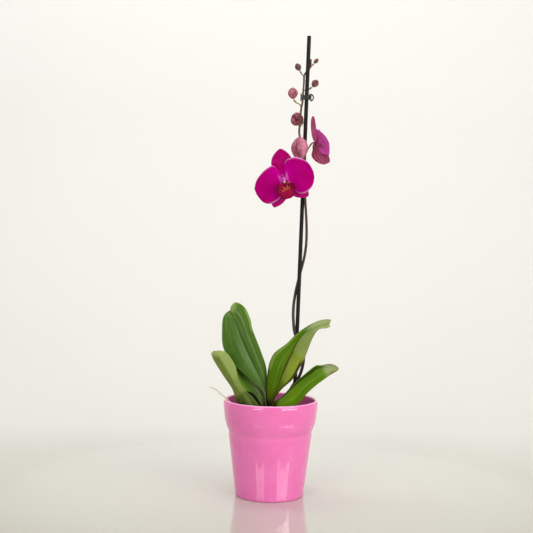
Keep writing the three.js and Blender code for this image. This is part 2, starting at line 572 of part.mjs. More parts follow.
function bloomSolids({ tepals, lipWidth, lipTurn }) {
  const receptacle = toSolid(ballGeometry([0, 0, -0.4], [3.3, 3.3, 2.6], 8, 5));
  const flower = joinAll([receptacle, ...tepals.map((tepal) => toSolid(tepalGeometry(tepal)))]);
  const turn = THREE.MathUtils.degToRad(lipTurn);
  const column = toSolid(stemGeometry([[0, 0.8, 3.1], [0, 0.2, 5.6], [0, -2.6, 9.2], [0, -6.6, 11.4]],
    (t) => 1.8 + 0.8 * Math.sin(Math.PI * t * 0.75) - 1.1 * t ** 6, 8, 5).rotateZ(turn));
  const middleLobe = (u, v) => {
    const spread = 0.45 + 0.55 * Math.sin((Math.PI / 2) * Math.min(1, 2 * v));
    const halfWidth = (lipWidth / 2) * spread * Math.sqrt(Math.max(0, 1 - v ** 3.2)) + 1;
    return new THREE.Vector3(halfWidth * u, -11 - 18 * v, 9 + 6.5 * Math.sin(2.3 * v) - 1.6 * u * u);
  };
  const sideLobe = (side) => (u, v) => {
    const halfHeight = 2.4 + 4.6 * Math.sin(Math.PI * (0.04 + 0.9 * v)) ** 0.8;
    return new THREE.Vector3(side * (1.8 + (lipWidth / 2 + 0.2) * v + 0.3 * halfHeight * u),
      -13.5 + 1.2 * v - halfHeight * u, 9.6 + 5.5 * Math.sin(1.6 * v) + 1.2 * u * u);
  };
  const lobes = [middleLobe, sideLobe(1), sideLobe(-1)].map(
    (lobe) => toSolid(bladeGeometry(lobe, () => LIP_THICKNESS, 4, 4)));
  const claw = toSolid(stemGeometry([[0, -3.1, 2.2], [0, -5.6, 4.2], [0, -9, 7], [0, -13.5, 9.8]],
    (t) => 1.1 + 1.6 * t, 7, 4));
  const callus = toSolid(ballGeometry([0, -15, 12.2], [4.3, 2.5, 2.5], 8, 5));
  const lip = toSolid(toGeometry(joinAll([claw, callus, ...lobes])).rotateZ(turn));
  return { flower, lip, column };
}

// The front bloom faces the viewer and is turned a little anticlockwise, the side bloom faces right.
const BLOOMS = {
  bloom_front: {
    centre: [13, -33, 453.4], facing: [-0.04, -1, -0.03], top: [0, 0, 1], lipWidth: 22, lipTurn: 14,
    tepals: [
      { bearing: -8, length: 41, width: 30, power: 0.95, blunt: 0.8, lean: 3, recurve: 3, cup: -1.5,
        layer: -1.2 },
      { bearing: 124, length: 41, width: 25, power: 0.95, blunt: 0.8, lean: 2, recurve: 4, cup: 1.5,
        layer: -1.2 },
      { bearing: 198, length: 41.5, width: 25, power: 0.95, blunt: 0.85, lean: 2, recurve: 4, cup: 1.5,
        layer: -1.2 },
      { bearing: 80, length: 42, lean: 8, recurve: 4, cup: 2, layer: 1.2, wave: 1.2,
        shoulders: [3.5, 0], margins: [[1.4, 17, 25, 26.7, 27.1, 26.1, 24.5, 22.7, 20.8, 16.8, 7],
          [1.4, 9, 16, 21.2, 24.3, 25, 24.6, 23.1, 21.4, 19.2, 14]] },
      { bearing: -113, length: 43, lean: 8, recurve: 4, cup: 2, layer: 1.2, wave: -1.2,
        shoulders: [0, 3.5], margins: [[1.4, 10, 18.5, 23, 25, 25.9, 26.6, 26.4, 25.5, 24.6, 19],
          [1.4, 14, 22.6, 22.6, 21.4, 19.7, 17.5, 15.4, 13, 9.5, 5]] },
    ],
  },
  bloom_side: {
    centre: [59.6, 14, 508.6], facing: [0.92, 0.39, -0.05], top: [-0.06, 0, 1], lipWidth: 17, lipTurn: 0,
    tepals: [
      { bearing: -4.9, length: 36.4, width: 20.7, power: 0.91, blunt: 0.45, lean: -6.8, recurve: 3.3,
        cup: -2, layer: -1.2, twist: 5 },
      { bearing: 142, length: 34, width: 24, power: 0.95, blunt: 0.8, lean: 28, recurve: 3, cup: -3,
        layer: -1.2 },
      { bearing: 206.8, length: 34.8, width: 23.2, power: 1.11, blunt: 0.4, lean: 18.2, recurve: -1.7,
        cup: -4.2, layer: -1.2, twist: 36 },
      { bearing: 84, length: 36, width: 42, power: 0.8, blunt: 0.62, lean: 26, recurve: 3, cup: 2,
        layer: 1.2, wave: 1 },
      { bearing: -92.2, length: 34.7, width: 41.9, power: 1.14, blunt: 0.67, lean: 9.3, recurve: 4.9,
        cup: -6, layer: 1.2, wave: -1, twist: -33 },
    ],
  },
};

function placing({ centre, facing, top }) {
  const front = point(facing).normalize();
  const right = point(top).cross(front).normalize();
  const up = front.clone().cross(right);
  return new THREE.Matrix4().makeBasis(right, up, front).setPosition(point(centre));
}

// Buds: ovals with three low ridges where their outer tepals meet, pointed at the tip.

const BUDS = {
  bud_opening: { tip: [36.2, -9.5, 484.9], radius: 12.3, ridge: 0.05, narrow: 1.15, blunt: 0.45, spin: 60,
    open: 1 },
  bud_round: { tip: [28, 33, 545], radius: 9.7, ridge: 0.04, narrow: 1, blunt: 0.6, spin: 20, open: 0 },
  bud_left: { tip: [23.4, 7.6, 586.4], radius: 7.2, ridge: 0.06, narrow: 1.05, blunt: 0.6, spin: 0,
    open: 0 },
  bud_right: { tip: [60.4, 16, 598.6], radius: 5.1, ridge: 0.06, narrow: 1.1, blunt: 0.6, spin: 0,
    open: 0 },
  bud_high_left: { tip: [29, 14, 622], radius: 4.4, ridge: 0.06, narrow: 1.1, blunt: 0.6, spin: 0,
    open: 0 },
  bud_high_right: { tip: [60.6, 14, 629.3], radius: 2.9, ridge: 0.05, narrow: 1, blunt: 0.6, spin: 0,
    open: 0 },
};
const BUD_PARTING = 6;
const BUD_PARTING_START = 0.72;

// The sphere's poles are the bud's root and tip. An opening bud has its three tepal ends parted.
function budGeometry(stalk, { tip, radius, ridge, narrow, blunt, spin, open }) {
  const end = point(stalk[stalk.length - 1]);
  const heading = end.clone().sub(point(stalk[stalk.length - 2])).normalize();
  const lean = heading.angleTo(point(tip).sub(end));
  const from = end.addScaledVector(heading, 2 * GAP + STALK_RADIUS * Math.sin(lean));
  const axis = point(tip).sub(from);
  const length = axis.length();
  const turn = new THREE.Quaternion().setFromUnitVectors(new THREE.Vector3(0, 1, 0), axis.normalize());
  const phase = THREE.MathUtils.degToRad(spin);
  const geometry = new THREE.SphereGeometry(1, 9, 7);
  const position = geometry.attributes.position;
  for (let i = 0; i < position.count; i++) {
    const place = new THREE.Vector3().fromBufferAttribute(position, i);
    const lobes = Math.cos(3 * (Math.atan2(place.z, place.x) + phase));
    const height = (place.y + 1) / 2;
    const ridged = 1 + ridge * lobes * Math.sin(Math.PI * height);
    const body = radius * Math.max(0, Math.sin(Math.PI * height ** narrow)) ** blunt * ridged;
    const flat = Math.hypot(place.x, place.z);
    const parting = Math.max(0, height - BUD_PARTING_START) / (1 - BUD_PARTING_START);
    const parted = open * BUD_PARTING * lobes * parting * flat;
    place.set(flat > 1e-6 ? (place.x / flat) * body : 0, height * length + parted,
      flat > 1e-6 ? (place.z / flat) * body : 0);
    place.applyQuaternion(turn).add(from);
    position.setXYZ(i, place.x, place.y, place.z);
  }
  return geometry;
}

// Clip. Its own frame: z up the stake, x from the pin towards the finger pads, y away from the viewer.
// The front half is the moving one, the back half is its mirror image with its knuckles between.

const CLIP_DISTANCE = (CLIP_HEIGHT - STAKE_FOOT.z) / STAKE_DIRECTION.z;
const CLIP_CENTRE = STAKE_FOOT.clone().addScaledVector(STAKE_DIRECTION, CLIP_DISTANCE)
  .add(new THREE.Vector3(CLIP_PIN_OFFSET, 0, 0));
const CLIP_TURN = new THREE.Quaternion().setFromUnitVectors(new THREE.Vector3(0, 0, 1), STAKE_DIRECTION);
const CLIP_PLACING = new THREE.Matrix4().makeRotationFromQuaternion(CLIP_TURN).setPosition(CLIP_CENTRE);

// The lower ends of the front half's two knuckles and of the back half's one, along the pin.
const CLIP_OUTER_LOWS = [-3, 1];
const CLIP_MIDDLE_LOWS = [-1];

// Extrude a plan outline from one height to another.
function plateGeometry(outline, low, high) {
  const shape = new THREE.Shape(outline.map(([x, y]) => new THREE.Vector2(x, y)));
  return new THREE.ExtrudeGeometry(shape, { depth: high - low, bevelEnabled: false }).translate(0, 0, low);
}

// The finger pad is half an oval that starts at the given distance from the pin and leans away from
// the jaws' middle plane. Its window has the same form.
function fingerPad(side, width, height, start, low, high) {
  const outline = [];
  for (let step = 0; step <= 8; step++) {
    const angle = -Math.PI / 2 + (Math.PI * step) / 8;
    outline.push([start + width * Math.cos(angle), (height / 2) * Math.sin(angle)]);
  }
  if (low === 0) outline.push([0.9, 2.2], [0.9, -2.2]);
  const pad = plateGeometry(outline, low, high).rotateX(Math.PI / 2).translate(0, 1.7, 0).rotateZ(0.38);
  return side < 0 ? pad.scale(1, -1, 1) : pad;
}

function clipHalf(side, ownLows, otherLows) {
  const knuckleHeight = CLIP_JAW_HEIGHT / 3;
  const flip = (outline) => outline.map(([x, y]) => [x, side * y]);
  const half = CLIP_JAW_HEIGHT / 2;
  const arm = plateGeometry(flip([[-0.6, 1.2], [-2, 2.9], [-5, 3.35], [-8.8, 3.1], [-11.9, 2.1],
    [-12.8, 0.25], [-14.1, 0.25], [-13.5, 2.8], [-9.6, 4.5], [-5, 4.75], [-1.3, 4.3], [0.9, 1.5]]),
  -half, half);
  const hook = plateGeometry(flip([[-12.8, 0.25], [-14.1, 0.25], [-13.7, 2.4], [-12.4, 1.9]]),
    -CLIP_PAD_HEIGHT / 2, CLIP_PAD_HEIGHT / 2);
  const blocks = [arm, hook].map(toSolid);
  blocks.push(toSolid(fingerPad(side, CLIP_PAD_WIDTH, CLIP_PAD_HEIGHT, 1.4, 0, 1.2))
    .subtract(toSolid(fingerPad(side, CLIP_WINDOW_WIDTH, CLIP_WINDOW_HEIGHT, 2.3, -1, 2.2))));
  const knuckles = ownLows.map((low) => toSolid(
    rodGeometry(point([0, 0, low]), point([0, 0, low + knuckleHeight]), CLIP_KNUCKLE_RADIUS, 12)));
  const bore = toSolid(rodGeometry(point([0, 0, -8]), point([0, 0, 8]), CLIP_KNUCKLE_BORE, 12));
  const room = otherLows.map((low) => toSolid(rodGeometry(point([0, 0, low - GAP]),
    point([0, 0, low + knuckleHeight + GAP]), CLIP_KNUCKLE_RADIUS + GAP, 12)));
  const springRoom = toSolid(rodGeometry(point([0, 0, half + GAP]), point([0, 0, 8]),
    CLIP_SPRING_RADIUS + 0.7, 12));
  return cutAll(joinAll([...blocks, ...knuckles]), [bore, springRoom, ...room]);
}

function clipSpring() {
  const points = [];
  for (let step = 0; step <= CLIP_SPRING_TURNS * 8; step++) {
    const angle = (2 * Math.PI * step) / 8;
    points.push([CLIP_SPRING_RADIUS * Math.cos(angle), CLIP_SPRING_RADIUS * Math.sin(angle),
      CLIP_JAW_HEIGHT / 2 + 0.6 + 0.62 * (step / 8)]);
  }
  return stemGeometry(points, () => 0.25, 4, CLIP_SPRING_TURNS * 8);
}

// Build

addPiece('cover_pot', coverPot(), 'glaze');
addPiece('culture_pot', culturePot(), 'plastic');

// Leaves are laid from the inside out, and each one is cut clear of those already laid.
const laidLeaves = [];
const LAYING_ORDER = ['leaf_left_tall', 'leaf_right_high', 'leaf_left_inner', 'leaf_right_low',
  'leaf_left_low', 'old_sheath'];
for (const name of LAYING_ORDER) {
  const solid = cutAll(toSolid(leafGeometry(LEAVES[name], 0)), laidLeaves);
  laidLeaves.push(toSolid(leafGeometry(LEAVES[name], CLEARANCE)));
  addPiece(name, toGeometry(solid), LEAVES[name].colour);
}

const stakeRoom = toSolid(rodGeometry(STAKE_FOOT.clone().addScaledVector(STAKE_DIRECTION, -GAP), STAKE_TOP,
  STAKE_RADIUS + CLEARANCE / 2, 12));
const spikeRoom = spikeSolid(CLEARANCE / 2);
const spike = spikeSolid(0);
addPiece('flower_spike', toGeometry(cutAll(spike, [stakeRoom])), 'stem');
addPiece('stake', rodGeometry(STAKE_FOOT, STAKE_TOP, STAKE_RADIUS, 12), 'stake');

addPiece('crown', toGeometry(cutAll(crownSolid(), [spikeRoom, ...laidLeaves.slice(0, 2)])), 'crown');
addPiece('roots', toGeometry(cutAll(rootsSolid(0), [spikeRoom, stakeRoom])), 'root');

const crownRoomProfile = CROWN_PROFILE.map(
  ([r, z]) => [r > 0 ? r + CLEARANCE / 2 : 0, z - CLEARANCE / 2]);
const crownRoom = toSolid(latheGeometry(crownRoomProfile, 12).translate(CROWN_X, CROWN_Y, 0));
addPiece('bark_mix', toGeometry(
  cutAll(barkSolid(), [rootsSolid(CLEARANCE / 2), crownRoom, stakeRoom, spikeRoom])), 'bark');

for (const [name, bloom] of Object.entries(BLOOMS)) {
  const { flower, lip, column } = bloomSolids(bloom);
  const matrix = placing(bloom);
  const pieces = { petals: [flower, 'petal'], lip: [lip, 'lip'], column: [column, 'column'] };
  for (const [piece, [solid, colour]] of Object.entries(pieces)) {
    addPiece(`${name}_${piece}`, toGeometry(solid).applyMatrix4(matrix), colour);
  }
}

for (const [name, bud] of Object.entries(BUDS)) {
  addPiece(name, budGeometry(STALKS[name], bud), 'bud');
}

const clipPieces = {
  clip_front_jaw: [toGeometry(clipHalf(-1, CLIP_OUTER_LOWS, CLIP_MIDDLE_LOWS)), 'clip'],
  clip_back_jaw: [toGeometry(clipHalf(1, CLIP_MIDDLE_LOWS, CLIP_OUTER_LOWS)), 'clip'],
  clip_spring: [clipSpring(), 'steel'],
  clip_pin: [rodGeometry(point([0, 0, -3.6]), point([0, 0, 5.8]), CLIP_PIN_RADIUS, 8), 'steel'],
};
for (const [name, [geometry, colour]] of Object.entries(clipPieces)) {
  addPiece(name, geometry.applyMatrix4(CLIP_PLACING), colour);
}

export default part;
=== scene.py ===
# %% [markdown]
# # A potted moth orchid
#
# A moth orchid in a pink glazed cover pot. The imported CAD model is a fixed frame: it says where each
# piece is and how big it is. This lesson puts a finer piece with a real finish in the place of each
# plain solid, one step at a time. Sizes are in millimetres in the text of the code and are turned to
# metres when a mesh is made, because Blender works in metres.

# %% Load the fixed frame
import math

import bmesh
import bpy
import numpy as np
from mathutils import Matrix, Vector


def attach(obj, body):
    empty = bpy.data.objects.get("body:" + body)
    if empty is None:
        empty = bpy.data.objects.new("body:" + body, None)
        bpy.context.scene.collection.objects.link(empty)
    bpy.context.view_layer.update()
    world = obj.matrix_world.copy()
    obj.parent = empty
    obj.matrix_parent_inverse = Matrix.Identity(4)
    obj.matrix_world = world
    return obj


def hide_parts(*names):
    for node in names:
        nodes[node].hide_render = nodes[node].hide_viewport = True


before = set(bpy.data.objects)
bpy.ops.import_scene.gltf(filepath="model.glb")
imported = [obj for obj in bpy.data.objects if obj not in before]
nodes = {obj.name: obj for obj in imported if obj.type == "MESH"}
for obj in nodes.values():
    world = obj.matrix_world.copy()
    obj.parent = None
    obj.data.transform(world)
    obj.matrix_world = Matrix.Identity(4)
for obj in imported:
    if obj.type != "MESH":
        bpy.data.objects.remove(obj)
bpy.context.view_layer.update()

MM = 0.001
scene = bpy.context.scene

# %% [markdown]
# ## Four small helpers
#
# A colour picked from a picture is an sRGB number, but a shader works with linear light, so one
# function turns the first into the second. Another adds a node with its settings and its links in one
# line, and is used for materials and for geometry nodes alike. The third starts a material from the
# Principled shader: numbers that are the same all over the surface are set on its sockets directly.
# The last lays colours over one another like coats of paint. A coat is as strong as the product of its
# masks, and most masks are ramps, which fade in or out while some measure goes from start to stop.

# %% Colours, nodes, materials and coats of paint
def linear(hex_colour):
    """An sRGB hex colour such as "#e77ab1" as linear RGBA."""
    shares = [int(hex_colour[i:i + 2], 16) / 255 for i in (1, 3, 5)]
    return [s / 12.92 if s <= 0.04045 else ((s + 0.055) / 1.055) ** 2.4 for s in shares] + [1.0]


def add_node(tree, kind, inputs=None, **settings):
    """Add a node. Settings are its properties, inputs its values, hex colours and linked sockets."""
    node = tree.nodes.new(kind)
    for name, value in settings.items():
        setattr(node, name, value)
    for socket, value in (inputs or {}).items():
        if isinstance(value, bpy.types.NodeSocket):
            tree.links.new(value, node.inputs[socket])
        elif isinstance(value, str) and value.startswith("#"):
            node.inputs[socket].default_value = linear(value)
        else:
            node.inputs[socket].default_value = value
    return node


def start_material(name, **sockets):
    """A material with one Principled shader. Words in socket names are joined by underscores."""
    material = bpy.data.materials.new(name)
    material.use_nodes = True
    tree = material.node_tree
    shader = tree.nodes["Principled BSDF"]
    for socket, value in sockets.items():
        shader.inputs[socket.replace("_", " ")].default_value = value
    print("material:", name)
    return material, tree, shader


def paint(tree, ground, coats, ease="LINEAR"):
    """Lay coats of colour over a ground. A coat is a colour and its masks, which are multiplied. A mask
    is a number, a socket, or a ramp (value, start, stop), with its low and high end if not 0 and 1."""
    for colour, *masks in coats:
        strength = None
        for mask in masks:
            if isinstance(mask, tuple):
                value, start, stop, low, high = (mask + (0.0, 1.0))[:5]
                mask = add_node(tree, "ShaderNodeMapRange", {0: value, 1: start, 2: stop, 3: low, 4: high},
                                interpolation_type=ease).outputs[0]
            if strength is not None:
                mask = add_node(tree, "ShaderNodeMath", {0: strength, 1: mask},
                                operation="MULTIPLY").outputs[0]
            strength = mask
        ground = add_node(tree, "ShaderNodeMix", {0: strength, 6: ground, 7: colour},
                          data_type="RGBA").outputs[2]
    return ground


# %% [markdown]
# ## The camera
#
# The photograph was taken from 1.45 m in front of the pot, a little above the leaves, with a lens of
# about 68 mm on a 36 mm sensor. The camera looked 1.7 degrees down and was turned by about a degree,
# which is why the stake leans in the picture. The camera's axes are written straight into its matrix.

# %% Camera
CAMERA_PLACE = Vector((-9.2, -1450, 372)) * MM
CAMERA_DOWN = math.radians(1.7)
CAMERA_ROLL = math.radians(0.95)
FOCAL_PIXELS = 1010
PICTURE_PIXELS = 533

looking = Vector((0, math.cos(CAMERA_DOWN), -math.sin(CAMERA_DOWN)))
level_up = Vector((0, math.sin(CAMERA_DOWN), math.cos(CAMERA_DOWN)))
level_right = Vector((1, 0, 0))
camera_right = level_right * math.cos(CAMERA_ROLL) + level_up * math.sin(CAMERA_ROLL)
camera_up = level_up * math.cos(CAMERA_ROLL) - level_right * math.sin(CAMERA_ROLL)

lens = bpy.data.cameras.new("photo_camera")
lens.sensor_width = 36
lens.lens = 36 * FOCAL_PIXELS / PICTURE_PIXELS
lens.clip_end = 20
camera = bpy.data.objects.new("photo_camera", lens)
scene.collection.objects.link(camera)
camera.matrix_world = Matrix.Translation(CAMERA_PLACE) @ Matrix(
    (camera_right, camera_up, -looking)).transposed().to_4x4()
scene.camera = camera
print("camera: lens", round(lens.lens, 1), "mm")

# %% [markdown]
# ## Light and backdrop
#
# The picture has soft light with no hard shadow: window-like sources in front, the stronger one to the
# right, and much light thrown back by pale walls. A bright world gives the second. Area lights give the
# first: a softbox and a low strip on each side, which draw the two streaks on the glaze, and wider ones
# above, at the side and over the wall, which fill in.

# %% World and lights
world = bpy.data.worlds.new("pale_room")
scene.world = world
world.use_nodes = True
world.node_tree.nodes["Background"].inputs["Color"].default_value = linear("#f6f8ff")
world.node_tree.nodes["Background"].inputs["Strength"].default_value = 0.385
scene.view_settings.view_transform = "Standard"


# Each light's place and target in metres, its width and height, its watts and its roll in degrees.
LIGHTS = {
    "right_softbox": ((1.50, -1.60, 1.19), (0, 0, 0.1), 1.5, 0.32, 15, -3),
    "left_softbox": ((-1.0, -1.73, 1.1), (0, 0, 0.1), 0.95, 0.3, 6, 3),
    "right_strip": ((1.58, -1.53, 0.28), (0, 0, 0.15), 1.5, 0.28, 11, 0),
    "left_strip": ((-1.0, -1.73, 0.3), (0, 0, 0.15), 0.8, 0.3, 3.4, 0),
    "high_softbox": ((0.1, -1.2, 2.0), (0, 0, 0.2), 1.9, 0.6, 11, 0),
    "side_softbox": ((2.0, -0.85, 1.4), (0, 0, 0.3), 0.9, 1.0, 4, 0),
    "wall_wash": ((-0.5, 0.35, 2.3), (-0.3, 1.3, 0.6), 2.6, 0.5, 21, 0),
}
for name, (place, target, width, height, watts, roll) in LIGHTS.items():
    light = bpy.data.lights.new(name, "AREA")
    light.shape = "RECTANGLE"
    light.size, light.size_y = width, height
    light.energy = watts
    light.color = linear("#fffdfa")[:3]
    holder = bpy.data.objects.new(name, light)
    holder.location = place
    aim = (Vector(target) - Vector(place)).to_track_quat("-Z", "Y").to_matrix()
    holder.rotation_euler = (aim @ Matrix.Rotation(math.radians(roll), 3, "Z")).to_euler()
    scene.collection.objects.link(holder)
print("lights:", len(LIGHTS))

# %% [markdown]
# ## The sheet that it stands on
#
# One sheet of lacquered board bends from floor to wall with no line between them. It is as glossy as a
# table top where the pot stands, so the pot's reflection shows, and matt farther out.

# %% Floor and wall sheet
SHEET_SIDE = 3.2
GLOSSY_TO, MATT_FROM = 0.17, 0.42


def sheet_profile():
    """Floor, bend and wall as (y, z) in metres, seen from the side."""
    front, bend_start, bend_radius, wall_top = -2.6, 0.55, 0.75, 3.2
    places = [(front + (bend_start - front) * i / 12, 0.0) for i in range(12)]
    for i in range(17):
        angle = math.pi / 2 * i / 16
        places.append((bend_start + bend_radius * math.sin(angle), bend_radius * (1 - math.cos(angle))))
    places += [(bend_start + bend_radius, bend_radius + (wall_top - bend_radius) * i / 6)
               for i in range(1, 7)]
    return places


profile = sheet_profile()
sheet_mesh = bpy.data.meshes.new("floor_sheet")
sheet_mesh.from_pydata([(x, y, z) for y, z in profile for x in (-SHEET_SIDE, SHEET_SIDE)], [],
                       [(2 * i, 2 * i + 1, 2 * i + 3, 2 * i + 2) for i in range(len(profile) - 1)])
sheet_mesh.polygons.foreach_set("use_smooth", [True] * len(sheet_mesh.polygons))
floor = bpy.data.objects.new("floor_sheet", sheet_mesh)
scene.collection.objects.link(floor)
painted_board, tree, shader = start_material("gloss_lacquered_board", IOR=1.9, Roughness=0.03)
place = add_node(tree, "ShaderNodeTexCoord").outputs["Object"]
axes = add_node(tree, "ShaderNodeSeparateXYZ", {0: place})
# Painted light and shade: the floor is painted paler from the pot to the wall, and the wall a little more
# towards the top, as the light falls on them.
board_painted_light = paint(tree, "#bfbdb1", [("#e2e1da", (axes.outputs["Y"], -0.2, 0.5)),
                                       ("#eeede9", (axes.outputs["Z"], 0.0, 0.8))])
tree.links.new(board_painted_light, shader.inputs["Base Color"])
far = add_node(tree, "ShaderNodeVectorMath", {0: place}, operation="LENGTH").outputs["Value"]
gloss = add_node(tree, "ShaderNodeMapRange", {0: far, 1: GLOSSY_TO, 2: MATT_FROM, 3: 0.5, 4: 0.0},
                 interpolation_type="SMOOTHSTEP").outputs[0]
tree.links.new(gloss, shader.inputs["Specular IOR Level"])
sheet_mesh.materials.append(painted_board)
print("sheet:", len(sheet_mesh.polygons), "faces")

# %% [markdown]
# ## Curves through points
#
# Every leaf and stem of the frame is drawn from smooth curves through a few points. The same kind of
# curve, a centripetal Catmull-Rom spline, is used here, so that the finer pieces lie exactly where the
# plain solids are. The curve is measured once and then asked for its place at any share of its length.

# %% Smooth curves
def smooth_curve(points, per_span=40):
    """A function from a share of the length, 0 to 1, to places on the curve through the points."""
    given = np.array(points, float)
    ends = [2 * given[0] - given[1], 2 * given[-1] - given[-2]]
    knots = np.vstack([ends[0], given, ends[1]])
    places = []
    for i in range(1, len(knots) - 2):
        a, b, c, d = knots[i - 1:i + 3]
        gaps = [max(np.linalg.norm(q - p) ** 0.5, 1e-6) for p, q in ((a, b), (b, c), (c, d))]
        start = ((b - a) / gaps[0] - (c - a) / (gaps[0] + gaps[1]) + (c - b) / gaps[1]) * gaps[1]
        stop = ((c - b) / gaps[1] - (d - b) / (gaps[1] + gaps[2]) + (d - c) / gaps[2]) * gaps[1]
        t = np.linspace(0, 1, per_span, endpoint=False)[:, None]
        places.append(b + start * t + (3 * (c - b) - 2 * start - stop) * t ** 2
                      + (2 * (b - c) + start + stop) * t ** 3)
    places = np.vstack(places + [given[-1:]])
    lengths = np.concatenate([[0], np.cumsum(np.linalg.norm(np.diff(places, axis=0), axis=1))])

    def at(share):
        along = np.clip(np.asarray(share, float), 0, 1) * lengths[-1]
        return np.stack([np.interp(along, lengths, places[:, k]) for k in range(3)], axis=-1)
    at.length = lengths[-1]
    return at


bow = smooth_curve([(0, 0, 0), (50, 20, 0), (100, 0, 0)])
print("a bow of three points is", round(bow.length, 1), "mm long, its middle at", bow(0.5).round(1))

# %% [markdown]
# ## Blades
#
# A leaf and a petal are both blades: a curved middle surface with a little thickness. The surface is a
# rule from two numbers, u across and v along, to a place. A fine grid on it is moved half the
# thickness to each side and closed round the rim, which is thinned so that the margin looks rounded.
# The numbers u and v are kept as a UV map, so veins can follow the blade, and an attribute called
# "front" says which face a point is on.

# %% Make a blade
def unit(vectors):
    return vectors / np.maximum(np.linalg.norm(vectors, axis=-1, keepdims=True), 1e-12)


def blade_grid(across, along):
    """u from -1 to 1, closer together near the margins, and v from 0 to 1, closer near the tip."""
    side = np.sin(np.linspace(-1, 1, across + 1) * 1.35) / math.sin(1.35)
    length = np.linspace(0, 1, along + 1)
    length = 0.75 * length + 0.25 * np.sin(length * math.pi / 2)
    return np.meshgrid(side, length)


def blade(surface, thickness, across, along, rim_at=None):
    """A thin closed blade. rim_at(u, v), if given, says how pale its rim is there, from 0 to 1."""
    u, v = blade_grid(across, along)
    step = 0.02
    lengthways = surface(u, np.minimum(v + step, 1)) - surface(u, np.maximum(v - step, 0))
    sideways = surface(np.minimum(u + step, 1), v) - surface(np.maximum(u - step, -1), v)
    normal = unit(np.cross(sideways, lengthways))
    rounding = np.maximum(0.22, np.sqrt(np.maximum(0, 1 - np.abs(u) ** 16)))
    rounding = np.minimum(rounding, np.maximum(0.22, np.sqrt(np.maximum(0, 1 - v ** 40))))
    half = (thickness(u, v) * rounding / 2)[..., None]
    middle = surface(u, v)
    columns = across + 1
    layer = columns * (along + 1)
    faces = []
    for j in range(along):
        for i in range(across):
            a = j * columns + i
            faces.append((a, a + 1, a + 1 + columns, a + columns))
            faces.append((layer + a, layer + a + columns, layer + a + columns + 1, layer + a + 1))
    rim = [(i, i + 1) for i in range(across)]
    rim += [(j * columns + across, (j + 1) * columns + across) for j in range(along)]
    rim += [(along * columns + i, along * columns + i - 1) for i in range(across, 0, -1)]
    rim += [(j * columns, (j - 1) * columns) for j in range(along, 0, -1)]
    faces += [(b, a, a + layer, b + layer) for a, b in rim]
    pale = (rim_at(u, v) if rim_at else np.zeros_like(u)).ravel()
    uv = np.stack([(u + 1) / 2, v], axis=-1).reshape(-1, 2)
    points = np.stack([middle + normal * half, middle - normal * half]).reshape(-1, 3)
    return dict(points=points, faces=faces, uv=np.vstack([uv, uv]), front=np.repeat([1.0, 0.0], layer),
                rim=np.concatenate([pale, pale]))


flat_blade = blade(lambda u, v: np.stack([u, v, 0 * u], axis=-1), lambda u, v: 0 * u + 0.1, 4, 6)
print("a blade of 4 by 6 squares has", len(flat_blade["points"]), "points", len(flat_blade["faces"]), "faces")

# %% [markdown]
# ## From shapes to pieces of the frame
#
# A piece may be made of several shapes, each with its own finish. They become one mesh, whose doubles are
# merged and whose faces are turned outwards. Then the frame is told which body the piece rides on and which
# plain solids it stands for.

# %% Make a piece
def finished(shapes, number):
    """The same shapes, with the number of the material that each one takes."""
    return [dict(shape, material=number) for shape in shapes]


def make_piece(name, shapes, materials, body="plant", replaces=()):
    """One mesh object from shapes given in mm, which stands for CAD nodes."""
    mesh = bpy.data.meshes.new(name)
    faces, numbers, start = [], [], 0
    for shape in shapes:
        faces += [tuple(start + k for k in face) for face in shape["faces"]]
        numbers += [shape.get("material", 0)] * len(shape["faces"])
        start += len(shape["points"])
    mesh.from_pydata((np.vstack([shape["points"] for shape in shapes]) * MM).tolist(), [], faces)
    for material in materials:
        mesh.materials.append(material)
    mesh.polygons.foreach_set("material_index", numbers)
    mesh.polygons.foreach_set("use_smooth", [True] * len(faces))
    corner = np.empty(len(mesh.loops), int)
    mesh.loops.foreach_get("vertex_index", corner)
    uv = np.vstack([shape["uv"] for shape in shapes])
    mesh.uv_layers.new(name="surface").data.foreach_set("uv", uv[corner].ravel())
    for mark in ("front", "rim"):
        values = np.concatenate([shape[mark] for shape in shapes])
        mesh.attributes.new(mark, "FLOAT", "POINT").data.foreach_set("value", values)
    mesh.validate()
    piece = bpy.data.objects.new(name, mesh)
    scene.collection.objects.link(piece)
    outward(piece)
    dress(piece, body, replaces)
    return piece


def outward(piece):
    """Turn all faces of a closed mesh outwards, after its doubles are merged."""
    shape = bmesh.new()
    shape.from_mesh(piece.data)
    bmesh.ops.remove_doubles(shape, verts=shape.verts, dist=1e-6)
    bmesh.ops.recalc_face_normals(shape, faces=shape.faces)
    shape.to_mesh(piece.data)
    shape.free()


def dress(piece, body, replaces):
    """Tell the frame what a finished piece rides on and stands for."""
    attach(piece, body)
    if replaces:
        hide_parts(*replaces)
    piece.data.calc_loop_triangles()
    print(piece.name, len(piece.data.loop_triangles), "triangles")


print("every length is multiplied by", MM, "when its mesh is made")

# %% [markdown]
# ## Things turned on a wheel
#
# The cover pot was turned or cast in a round mould, so its shape follows a rule: one outline turned
# round an axis. Blender's Spin or Screw would do it, but a Geometry Nodes tree keeps the rule in view:
# a flat grid has one row for each point of the outline and one column for each step of the turn, and
# every grid point is sent to its outline point, turned by its column's share of a full circle.

